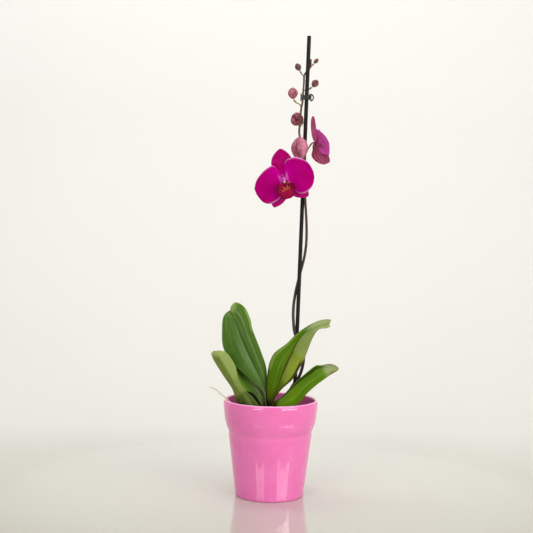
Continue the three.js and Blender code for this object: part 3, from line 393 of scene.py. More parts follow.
# %% The wheel, as a Geometry Nodes tree
def new_tree(name, sockets):
    """A geometry tree with named inputs, given as (name, socket type, default value)."""
    tree = bpy.data.node_groups.new(name, "GeometryNodeTree")
    tree.interface.new_socket("Geometry", in_out="INPUT", socket_type="NodeSocketGeometry")
    tree.interface.new_socket("Geometry", in_out="OUTPUT", socket_type="NodeSocketGeometry")
    for label, kind, default in sockets:
        socket = tree.interface.new_socket(label, in_out="INPUT", socket_type="NodeSocket" + kind)
        if default is not None:
            socket.default_value = default
    return tree, add_node(tree, "NodeGroupInput"), add_node(tree, "NodeGroupOutput")


def end_tree(tree, given, result, geometry):
    """Make instances real, give everything its finish, and hand it out."""
    whole = add_node(tree, "GeometryNodeRealizeInstances", {0: geometry})
    done = add_node(tree, "GeometryNodeSetMaterial",
                    {"Geometry": whole.outputs[0], "Material": given.outputs["Finish"]})
    tree.links.new(done.outputs[0], result.inputs[0])
    return tree


def wheel_tree():
    tree, given, result = new_tree("turned_on_a_wheel", [
        ("Steps round", "Int", 96), ("Finish", "Material", None)])
    rows = add_node(tree, "GeometryNodeAttributeDomainSize",
                    {0: given.outputs["Geometry"]}).outputs["Point Count"]
    columns = add_node(tree, "ShaderNodeMath", {0: given.outputs["Steps round"], 1: 1.0}, operation="ADD")
    grid = add_node(tree, "GeometryNodeMeshGrid",
                    {"Size X": 1.0, "Size Y": 1.0, "Vertices X": columns.outputs[0], "Vertices Y": rows})
    place = add_node(tree, "GeometryNodeInputPosition").outputs[0]
    flat = add_node(tree, "ShaderNodeSeparateXYZ", {0: place})
    up = add_node(tree, "ShaderNodeMath", {0: flat.outputs["Y"], 1: 0.5}, operation="ADD").outputs[0]
    round_it = add_node(tree, "ShaderNodeMath", {0: flat.outputs["X"], 1: 0.5}, operation="ADD").outputs[0]
    last_row = add_node(tree, "ShaderNodeMath", {0: rows, 1: 1.0}, operation="SUBTRACT").outputs[0]
    row = add_node(tree, "ShaderNodeMath", {0: up, 1: last_row}, operation="MULTIPLY").outputs[0]
    row = add_node(tree, "ShaderNodeMath", {0: row}, operation="ROUND").outputs[0]
    outline = add_node(tree, "GeometryNodeSampleIndex", {
        "Geometry": given.outputs["Geometry"], "Index": row, "Value": place},
        data_type="FLOAT_VECTOR").outputs[0]
    angle = add_node(tree, "ShaderNodeMath", {0: round_it, 1: 2 * math.pi}, operation="MULTIPLY")
    turned = add_node(tree, "ShaderNodeVectorRotate", {"Vector": outline, "Angle": angle.outputs[0]},
                      rotation_type="Z_AXIS")
    moved = add_node(tree, "GeometryNodeSetPosition",
                     {"Geometry": grid.outputs["Mesh"], "Position": turned.outputs[0]})
    # The grid's own numbers are kept as the UV map called surface.
    marked = add_node(tree, "GeometryNodeStoreNamedAttribute", {
        "Geometry": moved.outputs[0], "Name": "surface", "Value": grid.outputs["UV Map"]},
        data_type="FLOAT2", domain="CORNER")
    merged = add_node(tree, "GeometryNodeMergeByDistance", {"Geometry": marked.outputs[0], "Distance": 2e-6})
    smooth = add_node(tree, "GeometryNodeSetShadeSmooth", {"Geometry": merged.outputs[0]})
    return end_tree(tree, given, result, smooth.outputs[0])


WHEEL = wheel_tree()
print("wheel tree:", len(WHEEL.nodes), "nodes")

# %% [markdown]
# ## Growing a mesh with a tree
#
# A tree works on an object through a modifier. Its inputs are set by their identifiers, the result is
# copied to a plain mesh, and the helper object goes away again. The outlines that the wheel turns are
# written as pairs of radius and height, with straight lines and arcs cut into short steps.

# %% Grow a mesh, draw an outline
def grown(name, start, tree, **sizes):
    """The plain mesh that a geometry tree makes from a starting mesh or curve, as a new object."""
    holder = bpy.data.objects.new(name, start)
    scene.collection.objects.link(holder)
    modifier = holder.modifiers.new("grow", "NODES")
    modifier.node_group = tree
    sockets = {item.name: item.identifier for item in tree.interface.items_tree if item.in_out == "INPUT"}
    for label, value in sizes.items():
        modifier[sockets[label.replace("_", " ")]] = value
    bpy.context.view_layer.update()
    made = bpy.data.meshes.new_from_object(holder.evaluated_get(bpy.context.evaluated_depsgraph_get()))
    made.name = name
    bpy.data.objects.remove(holder)
    piece = bpy.data.objects.new(name, made)
    scene.collection.objects.link(piece)
    return piece


def outline_mesh(name, outline):
    """A polyline mesh in the plane y = 0 from (radius, height) pairs in mm."""
    mesh = bpy.data.meshes.new(name)
    mesh.from_pydata([(r * MM, 0, z * MM) for r, z in outline],
                     [(i, i + 1) for i in range(len(outline) - 1)], [])
    return mesh


def between(start, stop, steps):
    """Points from start up to but not at stop."""
    return [tuple(np.array(start) + (np.array(stop) - np.array(start)) * i / steps) for i in range(steps)]


def arc(centre, radius, first, last, steps):
    """Points on an arc, with its angles in degrees."""
    angles = np.radians(np.linspace(first, last, steps + 1))
    return [(centre[0] + radius * math.cos(a), centre[1] + radius * math.sin(a)) for a in angles]


def join_pieces(pieces, name):
    """Join objects into the first one."""
    with bpy.context.temp_override(active_object=pieces[0], selected_editable_objects=pieces,
                                   object=pieces[0], selected_objects=pieces):
        bpy.ops.object.join()
    pieces[0].name = name
    return pieces[0]


print("a quarter of an arc in 3 steps:", [tuple(round(c, 2) for c in q) for q in arc((0, 0), 1, 0, 90, 3)])

# %% [markdown]
# ## The cover pot's glaze
#
# The pot is stoneware under a thick gloss glaze. A glaze is a coat of clear glass with the colour under it:
# the coat gives the sharp streaks of light, the colour below stays soft. It runs a little thin on the rim,
# where the top of the lip is painted pale: thin glaze and a painted highlight along the lip. Its surface is
# not quite flat, which makes the streaks waver.

# %% Pink gloss glaze
stoneware, tree, shader = start_material("pink_gloss_glazed_stoneware", Roughness=0.5, IOR=1.5,
                                         Specular_IOR_Level=0.0,
                                         Coat_Weight=1.0, Coat_Roughness=0.03, Coat_IOR=1.7)
place = add_node(tree, "ShaderNodeTexCoord").outputs["Object"]
height = add_node(tree, "ShaderNodeSeparateXYZ", {0: place}).outputs["Z"]
# Pooled glaze: clouds about 25 mm across, so 1 / 0.025 m. The last 1.4 mm are painted pale: thin glaze and a
# painted highlight along the lip.
clouds = add_node(tree, "ShaderNodeTexNoise", {"Vector": place, "Scale": 40, "Detail": 2}).outputs["Fac"]
glaze_colour_and_lip_highlight = paint(tree, "#ee71b4", [("#f276b9", (clouds, 0.35, 0.65)),
                                       ("#ffb0d8", (height, 0.1366, 0.1378))])
tree.links.new(glaze_colour_and_lip_highlight, shader.inputs["Base Color"])
# Orange-peel of a poured glaze: waves of about 9 mm, a few hundredths of a millimetre high.
waves = add_node(tree, "ShaderNodeTexNoise", {"Vector": place, "Scale": 110, "Detail": 1}).outputs["Fac"]
ripple = add_node(tree, "ShaderNodeBump", {"Height": waves, "Strength": 0.12, "Distance": 0.0003})
tree.links.new(ripple.outputs[0], shader.inputs["Coat Normal"])

# %% [markdown]
# ## The cover pot
#
# A straight tapering cup with a soft crease two thirds of the way up, where the collar flares out. The
# outline goes from the centre of the foot, up the outside, over the rounded lip and down the inside.

# %% Cover pot
POT_HEIGHT, POT_BASE, POT_RIM, POT_WALL, POT_FLOOR = 138, 49.2, 67.8, 4.6, 6
WALL = between((POT_BASE + 0.2, 3.2), (59.6, 84.4), 30)
CREASE = [(59.84, 87.4), (59.84, 89.4), (59.78, 91.1), (60.0, 92.8)]
COLLAR = [(60.7, 94.5), (63.1, 100.5), (65.6, 110), (67.1, 122), (67.74, 130)]

bend = smooth_curve([(r, 0, z) for r, z in [(59.2, 81.2), (59.6, 84.4)] + CREASE + COLLAR])
wall = WALL + [(p[0], p[2]) for p in bend(np.linspace(0.08, 1, 80))]
lip_radius = POT_WALL / 2
# The rim's outer edge is drawn in over 7 mm, its inner edge is a quarter of a circle.
rim = [(POT_RIM - lip_radius + lip_radius * math.cos(a), POT_HEIGHT - 7 + 7 * math.sin(a))
       for a in np.linspace(0.06, math.pi / 2, 20)]
lip = rim + arc((POT_RIM - lip_radius, POT_HEIGHT - lip_radius), lip_radius, 96, 180, 10)
hollow = smooth_curve([(POT_BASE - POT_WALL + 0.9, 0, 12), (55.4, 0, 87.5), (58.5, 0, 100.5), (62.5, 0, 122),
                       (POT_RIM - POT_WALL, 0, 134)])
inside = [(p[0], p[2]) for p in hollow(np.linspace(1, 0, 50))]
pot_outline = ([(0.0, 0.9)] + between((6, 0.9), (POT_BASE - 6, 0.9), 6)
               + arc((POT_BASE - 4.2, 0.9), 0.9, 180, 270, 3)
               + arc((POT_BASE - 2.2, 2.2), 2.2, 270, 352, 8) + wall + lip + inside
               + arc((POT_BASE - POT_WALL - 4.4, POT_FLOOR + 5.2), 5.2, 0, -90, 8)
               + [(20.0, POT_FLOOR), (0.0, POT_FLOOR)])
cover_pot = grown("glazed_cover_pot", outline_mesh("pot_outline", pot_outline), WHEEL,
                  Steps_round=160, Finish=stoneware)
outward(cover_pot)
dress(cover_pot, "plant", ["cover_pot"])

# %% [markdown]
# ## The culture pot
#
# Inside stands the thin plastic pot that the plant was grown in, vacuum formed with a rolled rim. It is
# below the line of sight, but shows from above. The same wheel turns it.

# %% Culture pot
vacuum_formed, tree, shader = start_material("vacuum_formed_polypropylene", Roughness=0.38, IOR=1.49)
place = add_node(tree, "ShaderNodeTexCoord").outputs["Object"]
# Haze left by the mould: patches about 12 mm across.
haze = add_node(tree, "ShaderNodeTexNoise", {"Vector": place, "Scale": 80, "Detail": 3}).outputs["Fac"]
tree.links.new(paint(tree, "#4c3f38", [("#6a5a50", haze)]), shader.inputs["Base Color"])

CULTURE_FOOT = 6.3
culture_outline = ([(0, CULTURE_FOOT), (30, CULTURE_FOOT)] + arc((40.6, CULTURE_FOOT + 1.8), 1.8, 270, 354, 6)
                   + between((42.7, 9), (52.9, 111.4), 24) + [(52.9, 111.4)]
                   + arc((54.9, 112.9), 1.6, 270, 450, 14)
                   + [(52.4, 114.2)] + between((51.9, 112.6), (41.5, 9.2), 24)
                   + arc((39.4, 9.4), 1.8, 0, -90, 5) + [(0, 7.6)])
culture_pot = grown("culture_pot_shell", outline_mesh("culture_outline", culture_outline), WHEEL,
                    Steps_round=96, Finish=vacuum_formed)
outward(culture_pot)
dress(culture_pot, "plant", ["culture_pot"])

# %% [markdown]
# ## Stems that follow a path
#
# Roots, flower spike, stalks and the clip's spring are round things that follow a path, so one tree
# makes them all: a circle is swept along the curve, and its size at each point is a rule from the
# share of the length. A waist makes a stalk thinner in the middle than at its ends.

# %% The stem, as a Geometry Nodes tree
def stem_tree():
    tree, given, result = new_tree("stem_along_a_path", [
        ("Root radius", "Float", 0.002), ("Tip radius", "Float", 0.001), ("Taper", "Float", 1.0),
        ("Waist", "Float", 0.0), ("Sides", "Int", 16), ("Step", "Float", 0.002),
        ("Finish", "Material", None)])
    path = add_node(tree, "GeometryNodeResampleCurve",
                    {"Curve": given.outputs["Geometry"], "Length": given.outputs["Step"]}, mode="LENGTH")
    share = add_node(tree, "GeometryNodeSplineParameter").outputs["Factor"]
    marked = add_node(tree, "GeometryNodeStoreNamedAttribute",
                      {"Geometry": path.outputs[0], "Name": "along", "Value": share}, domain="POINT")
    power = add_node(tree, "ShaderNodeMath", {0: share, 1: given.outputs["Taper"]}, operation="POWER")
    radius = add_node(tree, "ShaderNodeMapRange", {
        0: power.outputs[0], 3: given.outputs["Root radius"], 4: given.outputs["Tip radius"]})
    stretched = add_node(tree, "ShaderNodeMath", {0: share, 1: 1.4}, operation="MULTIPLY")
    capped = add_node(tree, "ShaderNodeMath", {0: stretched.outputs[0], 1: 1.0}, operation="MINIMUM")
    half_turn = add_node(tree, "ShaderNodeMath", {0: capped.outputs[0], 1: math.pi}, operation="MULTIPLY")
    swell = add_node(tree, "ShaderNodeMath", {0: half_turn.outputs[0]}, operation="SINE")
    pinch = add_node(tree, "ShaderNodeMath", {0: swell.outputs[0], 1: given.outputs["Waist"]},
                     operation="MULTIPLY")
    kept = add_node(tree, "ShaderNodeMath", {0: 1.0, 1: pinch.outputs[0]}, operation="SUBTRACT")
    size = add_node(tree, "ShaderNodeMath", {0: radius.outputs[0], 1: kept.outputs[0]},
                    operation="MULTIPLY")
    circle = add_node(tree, "GeometryNodeCurvePrimitiveCircle",
                      {"Resolution": given.outputs["Sides"], "Radius": 1.0}, mode="RADIUS")
    ring = add_node(tree, "GeometryNodeStoreNamedAttribute", {
        "Geometry": circle.outputs[0], "Name": "around",
        "Value": add_node(tree, "GeometryNodeSplineParameter").outputs["Factor"]}, domain="POINT")
    tube = add_node(tree, "GeometryNodeCurveToMesh", {
        "Curve": marked.outputs[0], "Profile Curve": ring.outputs[0], "Scale": size.outputs[0],
        "Fill Caps": True})
    numbers = add_node(tree, "ShaderNodeCombineXYZ", {
        "X": add_node(tree, "GeometryNodeInputNamedAttribute", {"Name": "around"}).outputs[0],
        "Y": add_node(tree, "GeometryNodeInputNamedAttribute", {"Name": "along"}).outputs[0]})
    mapped = add_node(tree, "GeometryNodeStoreNamedAttribute", {
        "Geometry": tube.outputs[0], "Name": "surface", "Value": numbers.outputs[0]},
        data_type="FLOAT2", domain="CORNER")
    smooth = add_node(tree, "GeometryNodeSetShadeSmooth", {"Geometry": mapped.outputs[0]})
    return end_tree(tree, given, result, smooth.outputs[0])


def path_curve(name, routes):
    """A curve object's data with one line of many short steps for each route of points in mm."""
    curve = bpy.data.curves.new(name, "CURVE")
    curve.dimensions = "3D"
    for points in routes:
        line = smooth_curve(points)
        places = line(np.linspace(0, 1, max(12, int(line.length)))) * MM
        spline = curve.splines.new("POLY")
        spline.points.add(len(places) - 1)
        spline.points.foreach_set("co", np.hstack([places, np.ones((len(places), 1))]).ravel())
    return curve


STEM = stem_tree()
print("stem tree:", len(STEM.nodes), "nodes")

# %% [markdown]
# ## Bark mix
#
# A moth orchid grows in coarse bark, not in soil. A bed of it is turned on the wheel, and loose chips
# lie on its top, where they would be seen from above. A tree scatters one wedge-shaped chip over the
# bed with a fixed seed, so it lies the same way every time, and turns and sizes each one by chance.

# %% Bark finish
fir_bark, tree, shader = start_material("graded_fir_bark", Roughness=0.92, Specular_IOR_Level=0.25)
place = add_node(tree, "ShaderNodeTexCoord").outputs["Object"]
# Bark plates are about 3 mm and the corky grain between them under a millimetre.
plates = add_node(tree, "ShaderNodeTexNoise", {"Vector": place, "Scale": 330, "Detail": 5}).outputs["Fac"]
patches = add_node(tree, "ShaderNodeTexNoise", {"Vector": place, "Scale": 90, "Detail": 2}).outputs["Fac"]
bark_colour = paint(tree, "#38221a", [("#8a6248", plates), ("#4a2f22", (patches, 0.4, 0.62))])
tree.links.new(bark_colour, shader.inputs["Base Color"])
bark_bump = add_node(tree, "ShaderNodeBump", {"Height": plates, "Strength": 0.8, "Distance": 0.0012})
tree.links.new(bark_bump.outputs[0], shader.inputs["Normal"])


# %% Chips scattered over the bed
def chip_tree():
    tree, given, result = new_tree("scattered_chips", [
        ("Spacing", "Float", 0.008), ("Chip length", "Float", 0.011), ("Seed", "Int", 11),
        ("Finish", "Material", None)])
    facing = add_node(tree, "GeometryNodeInputNormal").outputs[0]
    upward = add_node(tree, "ShaderNodeSeparateXYZ", {0: facing}).outputs["Z"]
    top = add_node(tree, "FunctionNodeCompare", {0: upward, 1: 0.5}, operation="GREATER_THAN")
    points = add_node(tree, "GeometryNodeDistributePointsOnFaces", {
        "Mesh": given.outputs["Geometry"], "Selection": top.outputs[0],
        "Distance Min": given.outputs["Spacing"], "Density Max": 60000.0, "Seed": given.outputs["Seed"]},
        distribute_method="POISSON")
    block = add_node(tree, "GeometryNodeMeshCube", {"Size": (1.0, 0.62, 0.42)})
    finer = add_node(tree, "GeometryNodeSubdivideMesh", {"Mesh": block.outputs[0], "Level": 2})
    rough = add_node(tree, "ShaderNodeTexNoise", {"Scale": 2.2, "Detail": 2.0}, noise_dimensions="3D")
    centred = add_node(tree, "ShaderNodeVectorMath", {0: rough.outputs["Color"], 1: (0.5, 0.5, 0.5)},
                       operation="SUBTRACT")
    shift = add_node(tree, "ShaderNodeVectorMath", {0: centred.outputs[0], "Scale": 0.5}, operation="SCALE")
    broken = add_node(tree, "GeometryNodeSetPosition",
                      {"Geometry": finer.outputs[0], "Offset": shift.outputs[0]})
    turn = add_node(tree, "FunctionNodeRandomValue", {
        0: (-0.5, -0.5, 0.0), 1: (0.5, 0.5, 6.283), "Seed": given.outputs["Seed"]}, data_type="FLOAT_VECTOR")
    chance = add_node(tree, "FunctionNodeRandomValue", {2: 0.7, 3: 1.3, "Seed": given.outputs["Seed"]},
                      data_type="FLOAT")
    length = add_node(tree, "ShaderNodeMath", {0: chance.outputs[1], 1: given.outputs["Chip length"]},
                      operation="MULTIPLY")
    laid = add_node(tree, "GeometryNodeInstanceOnPoints", {
        "Points": points.outputs[0], "Instance": broken.outputs[0], "Rotation": turn.outputs[0],
        "Scale": length.outputs[0]})
    both = add_node(tree, "GeometryNodeJoinGeometry")
    for part in (laid.outputs[0], given.outputs["Geometry"]):
        tree.links.new(part, both.inputs[0])
    return end_tree(tree, given, result, both.outputs[0])


BED_TOP = 98.5
bed_outline = ([(0, 8.4), (38, 8.4), (40.4, 11.5)] + between((41.0, 14), (50.2, BED_TOP), 10)
               + [(50.2, BED_TOP), (38, BED_TOP + 0.8), (20, BED_TOP - 0.5), (0, BED_TOP - 1)])
bed = grown("bark_bed", outline_mesh("bed_outline", bed_outline), WHEEL, Steps_round=48, Finish=fir_bark)
outward(bed)
bark = grown("loose_bark_mix", bed.data.copy(), chip_tree(), Spacing=6.5 * MM, Chip_length=11 * MM, Seed=11,
             Finish=fir_bark)
bpy.data.objects.remove(bed)
dress(bark, "plant", ["bark_mix"])

# %% [markdown]
# ## Roots
#
# The thick roots have a spongy silver-green skin. They leave the crown, arch over the bark and dive
# back into it. One thin dry root leans out over the left rim and is pale as straw. They grew as one
# piece, so they are joined, but the dry one has its own finish.

# %% Root finishes
spongy_skin, tree, shader = start_material("spongy_root_skin", Roughness=0.75)
place = add_node(tree, "ShaderNodeTexCoord").outputs["Object"]
# Silver flecks about 2 mm long on the green skin.
flecks = add_node(tree, "ShaderNodeTexNoise", {"Vector": place, "Scale": 420, "Detail": 4}).outputs["Fac"]
tree.links.new(paint(tree, "#7d8a64", [("#b9bfae", (flecks, 0.4, 0.62))]), shader.inputs["Base Color"])
skin_bump = add_node(tree, "ShaderNodeBump", {"Height": flecks, "Strength": 0.5, "Distance": 0.0004})
tree.links.new(skin_bump.outputs[0], shader.inputs["Normal"])

dry_skin, tree, shader = start_material("dry_root_straw", Roughness=0.7)
place = add_node(tree, "ShaderNodeTexCoord").outputs["Object"]
fibres = add_node(tree, "ShaderNodeTexNoise", {"Vector": place, "Scale": 600, "Detail": 3}).outputs["Fac"]
tree.links.new(paint(tree, "#a58a5c", [("#e6dcc0", fibres)]), shader.inputs["Base Color"])

# %% Roots and aerial root
CROWN_X, CROWN_Y = -2, -1
ROOTS = [(205, 40, 108, 26), (262, 34, 107, -30), (318, 38, 107.5, 24),
         (72, 30, 107, 30), (112, 38, 109, -22), (158, 36, 107.5, 28)]
AERIAL_ROOT = [(-10, -3, 97), (-24, -6, 104), (-40, -11, 113), (-52, -11, 126), (-61.6, -10.4, 138.4),
               (-68, -10, 142.6), (-77, -10, 150.8), (-88, -10, 156.1)]


def root_route(heading, reach, arch, sweep):
    """A root's points from its direction, its reach, the height it arches to and its sideways sweep."""
    def at(distance, z, turn):
        angle = math.radians(heading + turn)
        return (CROWN_X + distance * math.cos(angle), CROWN_Y + distance * math.sin(angle), z)
    return [at(5, 92, 0), at(12, 97.5, 0), at(0.5 * reach, arch - 3, 0.3 * sweep),
            at(0.75 * reach, arch - 3.2, 0.65 * sweep), at(reach, 97, sweep), at(reach + 2, 84, sweep)]


thick_roots = grown("roots", path_curve("root_paths", [root_route(*root) for root in ROOTS]), STEM,
                    Root_radius=2.5 * MM, Tip_radius=2.0 * MM, Sides=20, Step=1.5 * MM, Finish=spongy_skin)
aerial_root = grown("aerial", path_curve("aerial_path", [AERIAL_ROOT]), STEM,
                    Root_radius=1.1 * MM, Tip_radius=0.6 * MM, Sides=12, Step=1.5 * MM, Finish=dry_skin)
collar_outline = [(0, 84), (8, 86), (9.6, 90), (10, 94), (9.8, 99.4), (0, 99.7)]
root_collar = grown("root_collar", outline_mesh("root_collar_outline", collar_outline), WHEEL,
                    Steps_round=32, Finish=spongy_skin)
root_collar.data.transform(Matrix.Translation((CROWN_X * MM, CROWN_Y * MM, 0)))
roots = join_pieces([thick_roots, aerial_root, root_collar], "spongy_roots")
dress(roots, "plant", ["roots"])

# %% [markdown]
# ## Crown
#
# The short stem between the leaf bases is wrapped in the bases of leaves that fell, green at its top
# and brown and dry lower down.

# %% Crown
crown_skin, tree, shader = start_material("leaf_base_crown", Roughness=0.55)
place = add_node(tree, "ShaderNodeTexCoord").outputs["Object"]
height = add_node(tree, "ShaderNodeSeparateXYZ", {0: place}).outputs["Z"]
# Dry fibres 2 mm apart run up it, and it goes green between 106 and 122 mm.
upright = add_node(tree, "ShaderNodeMapping", {"Vector": place, "Scale": (1, 1, 0.15)}).outputs[0]
fibres = add_node(tree, "ShaderNodeTexNoise", {"Vector": upright, "Scale": 500, "Detail": 3}).outputs["Fac"]
crown_colour = paint(tree, "#2c2014", [("#6b5334", fibres), ("#566b2a", (height, 0.106, 0.122))])
tree.links.new(crown_colour, shader.inputs["Base Color"])

crown_curve = smooth_curve([(9.6, 0, 100), (10.2, 0, 104), (9.6, 0, 109), (6.4, 0, 112.6), (6.0, 0, 116.6),
                            (4.9, 0, 118.6), (4.2, 0, 124), (2.8, 0, 126.4), (0.4, 0, 127)])
crown_outline = [(0, 100)] + [(p[0], p[2]) for p in crown_curve(np.linspace(0, 1, 40))] + [(0, 127)]
crown = grown("crown_stem", outline_mesh("crown_outline", crown_outline), WHEEL, Steps_round=48,
              Finish=crown_skin)
crown.data.transform(Matrix.Translation((CROWN_X * MM, CROWN_Y * MM, 0)))
outward(crown)
dress(crown, "plant", ["crown"])

# %% [markdown]
# ## Leaves
#
# The strap leaves are thick and leathery, with a waxed upper side, a groove along the midrib and fine veins
# that run the whole length. Each one is drawn from three curves, its left margin, its midrib and its right
# margin, from the sheath on the crown up to the tip, as the plain solid is. The finish reads the blade's own
# UV map: veins lie side by side across it, and the colour changes along and across it, with painted sheen,
# highlight and shade among its streaks and fields.

# %% Leaf finish
def leaf_finish(name, left, right, base, tip, edge, rib, painted_sheen, sheen_bands=(), rib_reach=0.55, tip_start=0.9,
                edge_left=0.7, edge_right=0.7, roughness=0.42, gloss=0.14, patches=()):
    """A waxed leaf. Its colours are those of its two halves, base, tip, edge and midrib, and its painted
    sheen, the pale colour of its soft streaks and sheen bands. The two halves' colours also paint how each
    half faces the light. Each sheen band is a long streak of painted sheen: its place across from 0 to 1, its
    half width and its strength. A patch is a soft-edged field: where it starts and stops across and along,
    its colour and strength. The brown patches are the leaf's own tone, and most pale and dark ones are
    painted highlight, sheen and shade."""
    material, tree, shader = start_material(name, Roughness=roughness, IOR=1.45, Specular_IOR_Level=gloss,
                                            Coat_Weight=gloss / 5, Coat_Roughness=0.25)
    surface = add_node(tree, "ShaderNodeUVMap", uv_map="surface").outputs[0]
    place = add_node(tree, "ShaderNodeTexCoord").outputs["Object"]
    numbers = add_node(tree, "ShaderNodeSeparateXYZ", {0: surface})
    across, along = numbers.outputs["X"], numbers.outputs["Y"]

    # Long soft streaks, a few millimetres wide and as long as a finger. Their pale colour is painted sheen,
    # and they also vary the wax's roughness and relief.
    drawn = add_node(tree, "ShaderNodeMapping", {"Vector": surface, "Scale": (17, 1.6, 1)}).outputs[0]
    streaks = add_node(tree, "ShaderNodeTexNoise",
                       {"Vector": drawn, "Scale": 1.0, "Detail": 3}).outputs["Fac"]
    # Thirty veins across a blade of 60 mm, so one every 2 mm, and clouds 20 mm wide.
    lined = add_node(tree, "ShaderNodeMapping", {"Vector": surface, "Scale": (1, 0.05, 1)}).outputs[0]
    veins = add_node(tree, "ShaderNodeTexWave", {
        "Vector": lined, "Scale": 9.5, "Distortion": 1.0, "Detail": 2, "Detail Scale": 4},
        bands_direction="X").outputs["Fac"]
    clouds = add_node(tree, "ShaderNodeTexNoise", {"Vector": place, "Scale": 50, "Detail": 4}).outputs["Fac"]
    # A finer noise frays the sheen bands and makes the sides of the patches waver.
    frayed = add_node(tree, "ShaderNodeMapping", {"Vector": surface, "Scale": (30, 3, 1)}).outputs[0]
    wavering = add_node(tree, "ShaderNodeTexNoise",
                        {"Vector": frayed, "Scale": 1.0, "Detail": 2}).outputs["Fac"]
    swing = add_node(tree, "ShaderNodeMath", {0: wavering, 1: 0.5}, operation="SUBTRACT").outputs[0]
    swing = add_node(tree, "ShaderNodeMath", {0: swing, 1: 0.12}, operation="MULTIPLY").outputs[0]
    shifted = add_node(tree, "ShaderNodeMath", {0: across, 1: swing}, operation="ADD").outputs[0]

    dark = paint(tree, left, [("#1d3004", 0.55)])
    # A half that faces the light more takes a paler colour, which is painted light. The pale streaks are
    # painted sheen.
    coats = [(right, (across, 0.485, 0.515)), (painted_sheen, (streaks, 0.5, 0.75, 0, 0.42)),
             (dark, (veins, 0.5, 1.0, 0, 0.45), (clouds, 0.35, 0.65, 0.3, 1)),
             (dark, (clouds, 0.5, 0.7, 0, 0.25))]
    # Each sheen band is a long streak of painted sheen.
    for centre, half_width, strength in sheen_bands:
        off = add_node(tree, "ShaderNodeMath", {0: across, 1: centre}, operation="SUBTRACT").outputs[0]
        off = add_node(tree, "ShaderNodeMath", {0: off}, operation="ABSOLUTE").outputs[0]
        coats.append((painted_sheen, (off, 0.0, half_width, strength, 0), (wavering, 0.3, 0.6),
                      (along, 0.12, 0.35), (along, 0.8, 0.95, 1, 0)))
    coats += [(base, (along, 0.03, 0.3, 1, 0)), (tip, (along, tip_start, tip_start + 0.06, 0, 0.85))]
    # Brown patches are the leaf's own tone; pale and dark ones are mostly painted highlight, sheen and shade.
    for left_side, right_side, low, high, shade, strength in patches:
        coats.append((shade, (shifted, left_side - 0.02, left_side + 0.03),
                      (shifted, right_side - 0.03, right_side + 0.02, 1, 0),
                      (along, low - 0.03, low + 0.04), (along, high - 0.04, high + 0.03, strength, 0)))
    middle = add_node(tree, "ShaderNodeMath", {0: across, 1: 0.5}, operation="SUBTRACT").outputs[0]
    middle = add_node(tree, "ShaderNodeMath", {0: middle}, operation="ABSOLUTE").outputs[0]
    coats += [(rib, (middle, 0.006, 0.03, 0.95, 0), (along, rib_reach, rib_reach + 0.3, 1, 0.25)),
              (edge, (across, 0.0, 0.028, edge_left, 0)), (edge, (across, 0.972, 1.0, 0, edge_right))]
    tree.links.new(paint(tree, left, coats, "SMOOTHSTEP"), shader.inputs["Base Color"])

    waxed = add_node(tree, "ShaderNodeMapRange", {
        0: streaks, 1: 0.4, 2: 0.7, 3: roughness + 0.08, 4: roughness - 0.1},
        interpolation_type="SMOOTHSTEP")
    tree.links.new(waxed.outputs[0], shader.inputs["Roughness"])
    relief = add_node(tree, "ShaderNodeMath", {0: veins, 1: 0.6}, operation="MULTIPLY").outputs[0]
    relief = add_node(tree, "ShaderNodeMath", {0: relief, 1: streaks}, operation="ADD").outputs[0]
    bump = add_node(tree, "ShaderNodeBump", {"Height": relief, "Strength": 0.35, "Distance": 0.0006})
    tree.links.new(bump.outputs[0], shader.inputs["Normal"])
    return material
